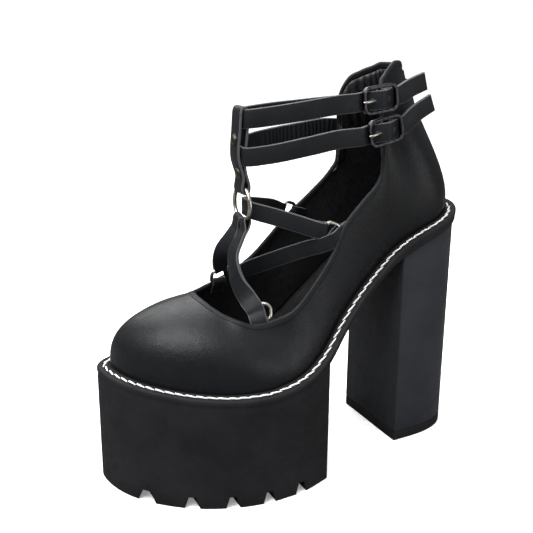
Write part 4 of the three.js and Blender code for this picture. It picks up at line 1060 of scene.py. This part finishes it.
def binding_skin(sizes):
    """The binding: a section folded over the opening's edge, carried all round it. The section is (out,
    up): up the outer face, over by half an ellipse, down the inner face, and back inside the fold."""
    angles = stations(STATIONS["binding"])
    point, out, up = upper_frame(angles, np.ones(len(angles)))
    deep, bulge = mm(sizes.binding), BINDING["bulge"]
    inside = mm(sizes.leather) + mm(sizes.lining) + BINDING["clear"]
    half = inside / 2 + bulge
    turn = np.pi * np.arange(BINDING["steps"] + 1) / BINDING["steps"]
    profile = np.concatenate([
        [(0.02, -deep), (0.22, -deep + 0.05), (0.34, -deep + 0.3), (bulge, -deep / 2)],
        np.stack([-inside / 2 + half * np.cos(turn), BINDING["rise"] + half * np.sin(turn)], -1),
        [(-inside - bulge, -deep / 2), (-inside - bulge, -deep + 0.3), (-inside - 0.2, -deep)],
        [(-inside, -deep), (-inside, -0.2), (-inside + 0.3, 0), (-0.3, 0), (0.02, -0.2)],
    ])
    return skin(point[:, None] + profile[:, :1] * out[:, None] + profile[:, 1:] * up[:, None], closed=True)


def collar_skin(sizes):
    """The collar's padding: a pillow against the lining, thickest in its middle, gathered by a wave along
    its lower seam and its ends. Its depth is a rounded sine up its height times a rounded sine round the
    collar."""
    share = np.linspace(0, 1, COLLAR["columns"])[:, None]
    up = np.linspace(0, 1, COLLAR["rows"])[None]
    low = COLLAR["low"] - COLLAR["drop"] * smoothstep(share, 0, COLLAR["drop_reach"])
    rise = low + (COLLAR["high"] - low) * up
    full = np.sin(np.pi * up) ** COLLAR["round_up"] * np.sin(np.pi * share) ** COLLAR["round_along"]
    wave = 0.5 + 0.5 * np.cos(share * 2 * np.pi * COLLAR["gathers"])
    pucker = 1 - COLLAR["gather_depth"] * (1 - up) ** 1.5 * wave
    fold = np.cos(share * 2 * np.pi * COLLAR["folds"] + COLLAR["fold_lean"] * up) ** 2
    depth = mm(sizes.padding) * full * pucker * (1 - COLLAR["fold_depth"] * fold) + COLLAR["least"]
    base = mm(sizes.leather) + mm(sizes.lining) + COLLAR["gap"]
    skins = []
    for side in (1, -1):
        angles = side * np.linspace(angle_of(COLLAR["front"]), angle_of(COLLAR["back"]), COLLAR["columns"])
        near, far = (upper_face(angles[:, None], rise, base + more) for more in (0, depth))
        skins.append(skin(np.concatenate([near, far[:, ::-1]], 1)))
    return skins


# Harness


def folded(rows, sizes, bars):
    """A strap doubled on itself: a band out along one face of its centre line, round a bar, and back along
    the other. The two layers lie together and part by a rounded bump where a bar passes between them."""
    path, rest, far = curve_through(rows, FOLD["spacing"])
    along, across, out = ways_along(path, rest[:, :3])
    layer = mm(sizes.strap_layer)
    lift = np.full(len(path), layer / 2 + FOLD["layer_gap"])
    for bar, radius in bars:
        middle = far[np.argmin(np.linalg.norm(path - np.array(bar), axis=1))]
        x = np.clip(np.abs(far - middle) / FOLD["reach"], 0, 1)
        lift = np.maximum(lift, layer / 2 + (radius + FOLD["bar_gap"]) * (1 - x * x) ** 2)
    lift = lift[:, None]
    steps = FOLD["steps"] - 1
    turn = np.pi * np.arange(1, steps + 1)[:, None] / FOLD["steps"]
    far_turn = path[-1] + lift[-1] * (np.cos(turn) * out[-1] + np.sin(turn) * along[-1])
    near_turn = path[0] - lift[0] * (np.cos(turn) * out[0] + np.sin(turn) * along[0])
    whole = np.concatenate([path + lift * out, far_turn, (path - lift * out)[::-1], near_turn])
    across, wide = (
        np.concatenate([row, np.repeat(row[-1:], steps, 0), row[::-1], np.repeat(row[:1], steps, 0)])
        for row in (across, rest[:, 3])
    )
    return sweep(whole, across, bar_profile(wide, layer, mm(sizes.strap_round)), True, flanks())


def bar_of(ring, u, v):
    """A point of a ring's wire, given as shares of its half sizes."""
    centre, first, second = ring_ways(ring)
    return centre + u * ring["half_u"] * first + v * ring["half_v"] * second


def buckle_ways(name):
    """A buckle's middle and its ways along, out and across."""
    turn = math.radians(BUCKLES[name]["pitch"])
    along = np.array([0, math.cos(turn), math.sin(turn)])
    across = np.array([0, -math.sin(turn), math.cos(turn)])
    return np.array(BUCKLES[name]["centre"], float), along, np.array([1.0, 0, 0]), across


def buckle_point(name, a, n, c=0):
    """A point at distances along a buckle, out of it and across it."""
    centre, along, out, across = buckle_ways(name)
    return centre + a * along + n * out + c * across


def ankle_rows(name):
    """The ankle strap's rows: round the ankle, under the front bar, over the middle bar, under the rear
    bar."""
    under = BUCKLE["wire"] + GAP + STRAP_THICK / 2
    over = BUCKLE["bar"] - BUCKLE["bar_drop"] + GAP + BUCKLE_TAB_THICK + STRAP_THICK / 2
    half, near, past, beside = BUCKLE["half_u"], *ANKLE_WEAVE
    way = [
        (-half - past, -under), (-half, -under), (-near, beside), (0, over), (near, beside),
        (half, -under), (half + past, -under),
    ]
    rows, tail = {"upper": (UPPER_ANKLE, UPPER_TAIL), "lower": (LOWER_ANKLE, LOWER_TAIL)}[name]
    return [*rows, *upright([tuple(buckle_point(name, a, n)) for a, n in way]), *tail]


def ankle_skin(name, sizes):
    """An ankle strap: one leather band along its rows. The lower one's inner face is gathered on the inner
    side, by a wave along it whose pitch wanders and whose height fades at both ends."""
    path, rest, far = curve_through(ankle_rows(name), ANKLE_SPACING)
    out = unit(np.cross(rest[:, :3], np.gradient(path, axis=0)))
    s = path[:, 1]
    share = smoothstep(s, *GATHERS["front"]) * (1 - smoothstep(s, *GATHERS["back"])) * (path[:, 0] < 0)
    wander = GATHERS["wander"] * np.sin(far / GATHERS["wander_length"])
    wave = 0.5 + 0.5 * np.sin(2 * np.pi * far / GATHERS["pitch"] + wander)
    swell = (GATHERS[name] * share * wave)[:, None]
    profile = bar_profile(rest[:, 3], STRAP_THICK + swell, mm(sizes.strap_round))
    return sweep(path + out * swell / 2, rest[:, :3], profile, part=flanks())


def buckle_skins(name):
    """A cast buckle frame with a flat face and bevelled rims, and the bar across its middle."""
    centre, along, _, across = buckle_ways(name)
    path, normal = ring_path({**BUCKLE, "centre": centre, "u": along, "v": across}, RING_TURNS["d_ring"])
    ends = np.linspace(-BUCKLE["half_v"], BUCKLE["half_v"], 6)
    bar = np.array([buckle_point(name, 0, -BUCKLE["bar_drop"], c) for c in ends])
    return [sweep(path, normal, BUCKLE_SECTION, True), sweep(bar, along, round_profile(BUCKLE["bar"]))]


def prong_skin(name):
    """The prong: a bar hooked round the middle bar, up through the strap and forward onto the front bar."""
    reach = BUCKLE["bar"] + GAP + BUCKLE["prong"]
    tip, half = BUCKLE["wire"] + GAP + BUCKLE["prong"], BUCKLE["half_u"]
    places = [(reach * math.cos(t), reach * math.sin(t) - BUCKLE["bar_drop"]) for t in np.radians(HOOK)]
    places += [*PRONG["rise"], (-half, tip), (-half - PRONG["past"], tip - PRONG["drop"])]
    across = buckle_ways(name)[3]
    rows = [(*buckle_point(name, a, n), *across) for a, n in places]
    path, rest, far = curve_through(rows, PRONG["spacing"])
    taper = np.interp(far, [0, far[-1] - PRONG["taper"], far[-1]], [1, 1, PRONG["tip"]])
    return sweep(path, rest, round_profile(BUCKLE["prong"], PRONG["sides"]) * taper[:, None, None])


def hole_skins(name):
    """Punched holes: a low pale rim, as part 1, and a dark floor, on the strap's outer face."""
    path, rest, far = curve_through(ankle_rows(name), FOLD["spacing"])
    along, across, out = ways_along(path, rest[:, :3])
    middle = far[np.argmin(np.linalg.norm(path - buckle_point(name, 0, HOLES["over"]), axis=1))]
    skins = []
    for place in HOLES["places"]:
        k = int(np.argmin(np.abs(far - (middle + place))))
        face = out[k] if out[k][0] > 0 else -out[k]
        centre = path[k] + face * (STRAP_THICK / 2)
        points, quads, parts = lathed(centre, along[k], across[k], face, HOLE_RIM, HOLES["sides"], True)
        # The rim takes the pale edge material, partly a painted highlight
        skins.append((points, quads, parts + 1))
        skins.append(lathed(centre, along[k], across[k], face, HOLE_FLOOR, HOLES["sides"]))
    return skins


def t_bar_skin(sizes):
    """The T-bar: a band carried round the outline that its table gives, smoothed by means of neighbours
    weighted 1, 2, 1, and set in by half its thickness."""
    front, back = T_BAR_ROWS[:, [1, 0]], T_BAR_ROWS[::-1][:, [2, 0]]
    outline = np.concatenate([front, back, front[:1]])
    far = distances(outline)
    even = np.linspace(0, far[-1], T_BAR["points"] + 1)[:-1]
    flat = sampled(even, far, outline)
    for _ in range(T_BAR["smoothing"]):
        flat = (np.roll(flat, 1, 0) + 2 * flat + np.roll(flat, -1, 0)) / 4
    along = unit(np.roll(flat, -1, 0) - np.roll(flat, 1, 0))
    inward = np.stack([-along[:, 1], along[:, 0]], -1)
    if np.sum((flat.mean(0) - flat) * inward) < 0:
        inward = -inward
    flat = flat + inward * T_BAR["thick"] / 2
    path = np.stack([np.full(len(flat), T_BAR["x"]), flat[:, 0], flat[:, 1]], -1)
    profile = bar_profile(T_BAR["width"], T_BAR["thick"], mm(sizes.strap_round))
    return sweep(path, SIDEWAYS, profile, True, flanks())


def rivet_skin(z):
    """A domed rivet head: circles whose radius and height follow a flattened dome with a thin rim, square
    to the T-bar's front."""
    front = through(T_BAR_ROWS[::-1, 0], T_BAR_ROWS[::-1, 1])
    reach = RIVET["reach"]
    slope = math.atan((front(z + reach) - front(z - reach)) / (2 * reach))
    out = np.array([0, -math.cos(slope), math.sin(slope)])
    up = np.array([0, math.sin(slope), math.cos(slope)])
    centre = np.array([T_BAR["x"], float(front(z)), z])
    rows = [(RIVET["radius"] - inward, height) for inward, height in RIVET_DOME]
    return lathed(centre, SIDEWAYS, up, out, rows, RIVET["sides"])


# Zip


def zip_ways():
    """The slider's seat on the back, and its ways along the zip, out and across."""
    rise = np.linspace(0, 1, 4001)
    back = upper_point(np.pi, rise)
    seat = float(np.interp(ZIP["seat"], back[:, 2], rise))
    low, centre, high = upper_point(np.pi, seat + np.array([-0.02, 0, 0.02]))
    along = unit((high - low) * [0, 1, 1])
    centre[0] = ZIP["middle"]
    return centre, along, -np.cross(SIDEWAYS, along)


def plate_rings(rings):
    """Loops of a flat plate on the zip's seat, each from its outline (along, sideways) and its height."""
    centre, along, out = zip_ways()
    return np.array([
        centre + ring[:, :1] * along + ring[:, 1:] * SIDEWAYS + height * out for ring, height in rings
    ])


def superellipse(half_a, half_w, power, count=40, shift=0):
    """An outline of count points on a superellipse, moved along by a shift, with a mirror for each point."""
    turn = 2 * np.pi * (np.arange(count) + 0.5) / count
    a, w = np.cos(turn), np.sin(turn)
    a, w = (np.sign(v) * np.abs(v) ** (2 / power) for v in (a, w))
    return np.stack([a * half_a + shift, w * half_w], -1)


def slider_skins():
    """The slider: a rounded body, and an arch over it that holds the pull."""
    centre, along, out = zip_ways()
    low, high, bevel = ZIP["clearance"], ZIP["clearance"] + ZIP["thick"], ZIP["bevel"]
    half = ZIP["length"] / 2
    flat = superellipse(half, ZIP["width"] / 2, ZIP["power"])
    middle = flat.mean(0)
    inner = middle + (flat - middle) * (1 - bevel / np.abs(flat - middle).max(0))
    body = skin(plate_rings([(inner, low), (flat, low + bevel), (flat, high - bevel), (inner, high)]))
    top = high + PULL["thick"] + 2 * GAP + ZIP["bridge"] / 2
    rise = [(inward - half, high + up) for inward, up in ARCH_FOOT]
    rise.append((ARCH_SHOULDER[0] - half, top - ARCH_SHOULDER[1]))
    rows = [*rise, (0, top), *[(-a, n) for a, n in rise[::-1]]]
    rows = [(*(centre + a * along + n * out), *SIDEWAYS) for a, n in rows]
    path, rest, _ = curve_through(rows, ARCH_SPACING)
    return [body, sweep(path, rest, bar_profile(ZIP["arch"], ZIP["bridge"], ZIP["arch_round"]))]


def pull_skin():
    """The pull: a tongue with a slot for the slider's post, as a ring of the outline and the slot's
    outline."""
    low = ZIP["clearance"] + ZIP["thick"] + GAP
    high, bevel, points = low + PULL["thick"], PULL["bevel"], PULL["points"]
    eye_top = -ZIP["length"] / 2 + 1 + ZIP["post"] + GAP
    top = eye_top + PULL["top"]
    shift = (top - PULL["length"]) / 2
    outer = superellipse((top + PULL["length"]) / 2, PULL["width"] / 2, PULL["power"], points, shift)
    half, eye_shift = (eye_top + PULL["neck"]) / 2, (eye_top - PULL["neck"]) / 2
    slot = superellipse(half, PULL["eye"] / 2, PULL["eye_power"], points, eye_shift)
    away = outer - [shift, 0]
    drawn = outer - np.sign(away) * np.minimum(bevel, np.abs(away))
    rings = [(slot, low), (drawn, low), (outer, low + bevel)]
    rings += [(outer, high - bevel), (drawn, high), (slot, high)]
    return skin(plate_rings(rings).transpose(1, 0, 2), closed=True)


def zip_skins():
    """Two strips of tape up the back, following the upper, and teeth between them as small rounded blocks
    that stand aside in turn."""
    rise = np.linspace(ZIP_TAPE["low"], ZIP_TAPE["high"], ZIP_TAPE["rows"])
    point, out, up = upper_frame(np.full(len(rise), np.pi), rise)
    profile = bar_profile(ZIP_TAPE["width"], ZIP_TAPE["thick"], ZIP_TAPE["round"], 1)
    tapes = []
    for sign in (-1, 1):
        path = point + unit(out * [0, 1, 1]) * ZIP_TAPE["lift"]
        path[:, 0] = ZIP["middle"] + sign * ZIP_TAPE["from_middle"]
        tapes.append(sweep(path, SIDEWAYS, profile))
    far = distances(point)
    at = np.arange(1, far[-1] - 1, ZIP_TEETH["pitch"])
    spot, way = (sampled(at, far, row) for row in (point, up))
    spot[:, 0] = ZIP["middle"] + ZIP_TEETH["aside"] * (-1) ** np.arange(len(at))
    way = unit(way * [0, 1, 1])
    face = np.cross(SIDEWAYS, way)
    face = face * np.sign(face[:, 1:2])
    local = np.array([[(-a, -b, n), (a, -b, n), (a, b, n), (-a, b, n)] for a, b, n in ZIP_TOOTH])
    ways = np.stack([np.broadcast_to(SIDEWAYS, way.shape), way, face], 1)
    teeth = spot[:, None, None] + np.einsum("rck,skx->srcx", local, ways)
    return tapes, [skin(tooth) for tooth in teeth]


# Operators


class SHOE_OT_sole(bpy.types.Operator):
    """Makes the moulded sole unit, the welt, the welt's stitches and the insole"""

    bl_idname = "shoe.sole"
    bl_label = "Sole and welt"

    def execute(self, context):
        stuff, sizes = materials_of(context), context.scene.shoe_sizes
        rubber, slot = [stuff["rubber"]], "platform_rubber"
        make("sole_unit_moulded", [platform_skin(), slab_skin()], rubber, slot, "sole_unit", sharp=30)
        make("welt_grooved", [welt_skin()], rubber, slot, "welt")
        make("welt_stitches", stitch_skin(sizes), [stuff["thread"]], "thread", sharp=70)
        make("insole_covered", [insole_skin()], [stuff["lining"]], "lining", "insole")
        return {"FINISHED"}


class SHOE_OT_heel(bpy.types.Operator):
    """Makes the wrapped heel block and its rubber tip"""

    bl_idname = "shoe.heel"
    bl_label = "Heel"

    def execute(self, context):
        stuff = materials_of(context)
        block, tip = heel_skins()
        make("heel_wrapped", [block], [stuff["heel"]], "heel_cover", "heel_block")
        make("heel_tip_rubber", [tip], [stuff["rubber"]], "platform_rubber", "heel_tip")
        return {"FINISHED"}


class SHOE_OT_upper(bpy.types.Operator):
    """Makes the upper's leather, its lining, the binding of its opening and the collar's padding"""

    bl_idname = "shoe.upper"
    bl_label = "Upper"

    def execute(self, context):
        stuff, sizes = materials_of(context), context.scene.shoe_sizes
        make("upper_leather", [shell_skin(sizes)], [stuff["leather"]], "smooth_leather", "upper")
        make("upper_lining", [lining_skin(sizes)], [stuff["lining"]], "lining")
        make("topline_binding", [binding_skin(sizes)], [stuff["strap"]], "smooth_leather")
        pad = make("collar_padding", collar_skin(sizes), [stuff["lining"]], "lining")
        return {"FINISHED"}


class SHOE_OT_harness(bpy.types.Operator):
    """Makes the doubled straps, the T-bar, the ring tabs, the rings and the rivets"""

    bl_idname = "shoe.harness"
    bl_label = "Harness"

    def execute(self, context):
        stuff, sizes = materials_of(context), context.scene.shoe_sizes
        rings = {name: {**D_RING, **ring} for name, ring in D_RINGS.items()}
        bands = {}
        for name, (rows, held) in STRAPS.items():
            bars = [(bar_of(rings[ring], u, v), radius) for ring, u, v, radius in held]
            if name.startswith("strap_lower"):
                bars.append((rows[0][:3], O_WIRE))
            bands[name] = folded(rows, sizes, bars)
        for name, rows in RING_TABS.items():
            bands[f"ring_tab_{name}"] = folded(rows, sizes, [(bar_of(rings[name], 0, -1), D_WIRE)])
        bands["t_bar"] = t_bar_skin(sizes)
        for name, band in bands.items():
            make(f"{name}_folded", [band], [stuff["strap"], stuff["edge"]], "smooth_leather", name)
        tubes = {"o_ring": ring_wire(O_RING, O_WIRE, RING_TURNS["o_ring"])}
        for name, ring in rings.items():
            tubes[f"d_ring_{name}"] = ring_wire(ring, D_WIRE, RING_TURNS["d_ring"])
        for name, tube in tubes.items():
            make(f"{name}_wire", [tube], [stuff["nickel"]], "nickel", name)
        for i, z in enumerate(RIVET["heights"], 1):
            make(f"rivet_{i}_head", [rivet_skin(z)], [stuff["rivet"]], "nickel", f"rivet_{i}")
        return {"FINISHED"}


class SHOE_OT_ankle(bpy.types.Operator):
    """Makes the two ankle straps with their buckles, prongs, tabs and punched holes"""

    bl_idname = "shoe.ankle"
    bl_label = "Ankle straps"

    def execute(self, context):
        stuff, sizes = materials_of(context), context.scene.shoe_sizes
        leather, metal = ([stuff["strap"], stuff["edge"]], "smooth_leather"), "gunmetal"
        for name, start in BUCKLE_TABS.items():
            band = [ankle_skin(name, sizes), *hole_skins(name)]
            make(f"ankle_strap_{name}_leather", band, *leather, f"ankle_strap_{name}")
            make(f"buckle_{name}_cast", buckle_skins(name), [stuff[metal]], metal, f"buckle_{name}", sharp=25)
            make(f"prong_{name}_cast", [prong_skin(name)], [stuff["nickel"]], metal, f"prong_{name}")
            under = -(BUCKLE["wire"] + GAP + STRAP_THICK + GAP + BUCKLE_TAB_THICK / 2)
            bar = buckle_point(name, 0, -BUCKLE["bar_drop"])
            ends = [buckle_point(name, BUCKLE["half_u"] - 0.5, under), buckle_point(name, 4, -2.6), bar]
            tab = folded([*start, *upright(ends, BUCKLE_TAB_WIDTH)], sizes, [(bar, BUCKLE["bar"])])
            make(f"buckle_tab_{name}_folded", [tab], *leather, f"buckle_tab_{name}")
        return {"FINISHED"}


class SHOE_OT_zip(bpy.types.Operator):
    """Makes the zip up the back with its teeth, slider and pull"""

    bl_idname = "shoe.zip"
    bl_label = "Zip"

    def execute(self, context):
        stuff = materials_of(context)
        tapes, teeth = zip_skins()
        metal, slot = [stuff["gunmetal"]], "gunmetal"
        make("zip_tape", tapes, [stuff["tape"]], "lining")
        make("zip_teeth", teeth, metal, slot, sharp=30)
        make("zip_slider_cast", slider_skins(), metal, slot, "zip_slider")
        make("zip_pull_cast", [pull_skin()], metal, slot, "zip_pull", body="pull")
        return {"FINISHED"}


class SHOE_OT_stage(bpy.types.Operator):
    """Makes the floor, the lights, the surround and the camera"""

    bl_idname = "shoe.stage"
    bl_label = "Stage"

    def execute(self, context):
        scene, half = context.scene, FLOOR_HALF
        scene.view_settings.view_transform = "Standard"
        mesh = bpy.data.meshes.new("studio_floor")
        corners = [(-half, -half, 0), (half, -half, 0), (half, half, 0), (-half, half, 0)]
        mesh.from_pydata(corners, [], [(0, 1, 2, 3)])
        mesh.materials.append(materials_of(context)["floor"])
        floor = bpy.data.objects.new("studio_floor", mesh)
        scene.collection.objects.link(floor)
        for name, (place, aim, wide, power) in LIGHTS.items():
            light = bpy.data.lights.new(name, "AREA")
            light.energy, light.size = power, wide
            lamp = bpy.data.objects.new(name, light)
            lamp.location = place
            lamp.rotation_mode = "QUATERNION"
            lamp.rotation_quaternion = (Vector(aim) - Vector(place)).to_track_quat("-Z", "Y")
            scene.collection.objects.link(lamp)
        self.surround(scene)
        self.look(scene)
        return {"FINISHED"}

    def surround(self, scene):
        """A pale surround: white where the camera sees it, and dimmer low down where it lights the shoe."""
        world = bpy.data.worlds.new("studio_surround")
        tree = empty_tree(world)
        seen = add_node(tree, "ShaderNodeBackground", {"Color": (1, 1, 1, 1), "Strength": 1})
        place = add_node(tree, "ShaderNodeTexCoord").outputs["Generated"]
        height = add_node(tree, "ShaderNodeSeparateXYZ", links={0: place}).outputs["Z"]
        settings = dict(zip(RANGE, (0, 1, STAGE["surround_low"], STAGE["surround_high"])))
        strength = add_node(tree, "ShaderNodeMapRange", settings, {"Value": height}).outputs["Result"]
        lit = add_node(tree, "ShaderNodeBackground", {"Color": (1, 1, 1, 1)}, {"Strength": strength})
        ray = add_node(tree, "ShaderNodeLightPath").outputs["Is Camera Ray"]
        mixed = add_node(tree, "ShaderNodeMixShader", links={0: ray, 1: lit.outputs[0], 2: seen.outputs[0]})
        add_node(tree, "ShaderNodeOutputWorld", links={"Surface": mixed.outputs[0]})
        scene.world = world

    def look(self, scene):
        """The camera, turned by its azimuth, elevation and roll."""
        a, e, k = (math.radians(CAMERA[key]) for key in ("azimuth", "elevation", "roll"))
        back = Vector((math.sin(a) * math.cos(e), -math.cos(a) * math.cos(e), math.sin(e)))
        right = Vector((math.cos(a), math.sin(a), 0))
        up = back.cross(right)
        x, y = right * math.cos(k) + up * math.sin(k), up * math.cos(k) - right * math.sin(k)
        data = bpy.data.cameras.new("camera")
        data.lens, data.sensor_width, data.shift_y = CAMERA["lens"], CAMERA["sensor"], CAMERA["shift_y"]
        data.clip_start, data.clip_end = CAMERA["near"], CAMERA["far"]
        camera = bpy.data.objects.new("camera", data)
        rows = [(x[i], y[i], back[i], CAMERA["place"][i]) for i in range(3)]
        camera.matrix_world = Matrix((*rows, (0, 0, 0, 1)))
        scene.collection.objects.link(camera)
        scene.camera = camera


PIECES = (
    SHOE_OT_sole, SHOE_OT_heel, SHOE_OT_upper, SHOE_OT_harness, SHOE_OT_ankle, SHOE_OT_zip, SHOE_OT_stage,
)


class SHOE_PT_panel(bpy.types.Panel):
    """Lists the shoe's pieces, sizes and colours"""

    bl_label = "Platform shoe"
    bl_idname = "SHOE_PT_panel"
    bl_space_type = "VIEW_3D"
    bl_region_type = "UI"
    bl_category = "Shoe"

    def draw(self, context):
        for operator in PIECES:
            self.layout.operator(operator.bl_idname)
        for group in (context.scene.shoe_sizes, context.scene.shoe_colours):
            for name in group.__annotations__:
                self.layout.prop(group, name)


CLASSES = (ShoeSizes, ShoeColours, *PIECES, SHOE_PT_panel)


def register():
    """Registers the classes and adds their properties to the scene."""
    for item in CLASSES:
        bpy.utils.register_class(item)
    bpy.types.Scene.shoe_sizes = PointerProperty(type=ShoeSizes)
    bpy.types.Scene.shoe_colours = PointerProperty(type=ShoeColours)


def unregister():
    """Takes the properties and classes away again."""
    del bpy.types.Scene.shoe_colours
    del bpy.types.Scene.shoe_sizes
    for item in reversed(CLASSES):
        bpy.utils.unregister_class(item)


def main():
    """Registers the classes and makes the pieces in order."""
    register()
    for operator in PIECES:
        group, name = operator.bl_idname.split(".")
        getattr(getattr(bpy.ops, group), name)()


if __name__ == "__main__":
    main()
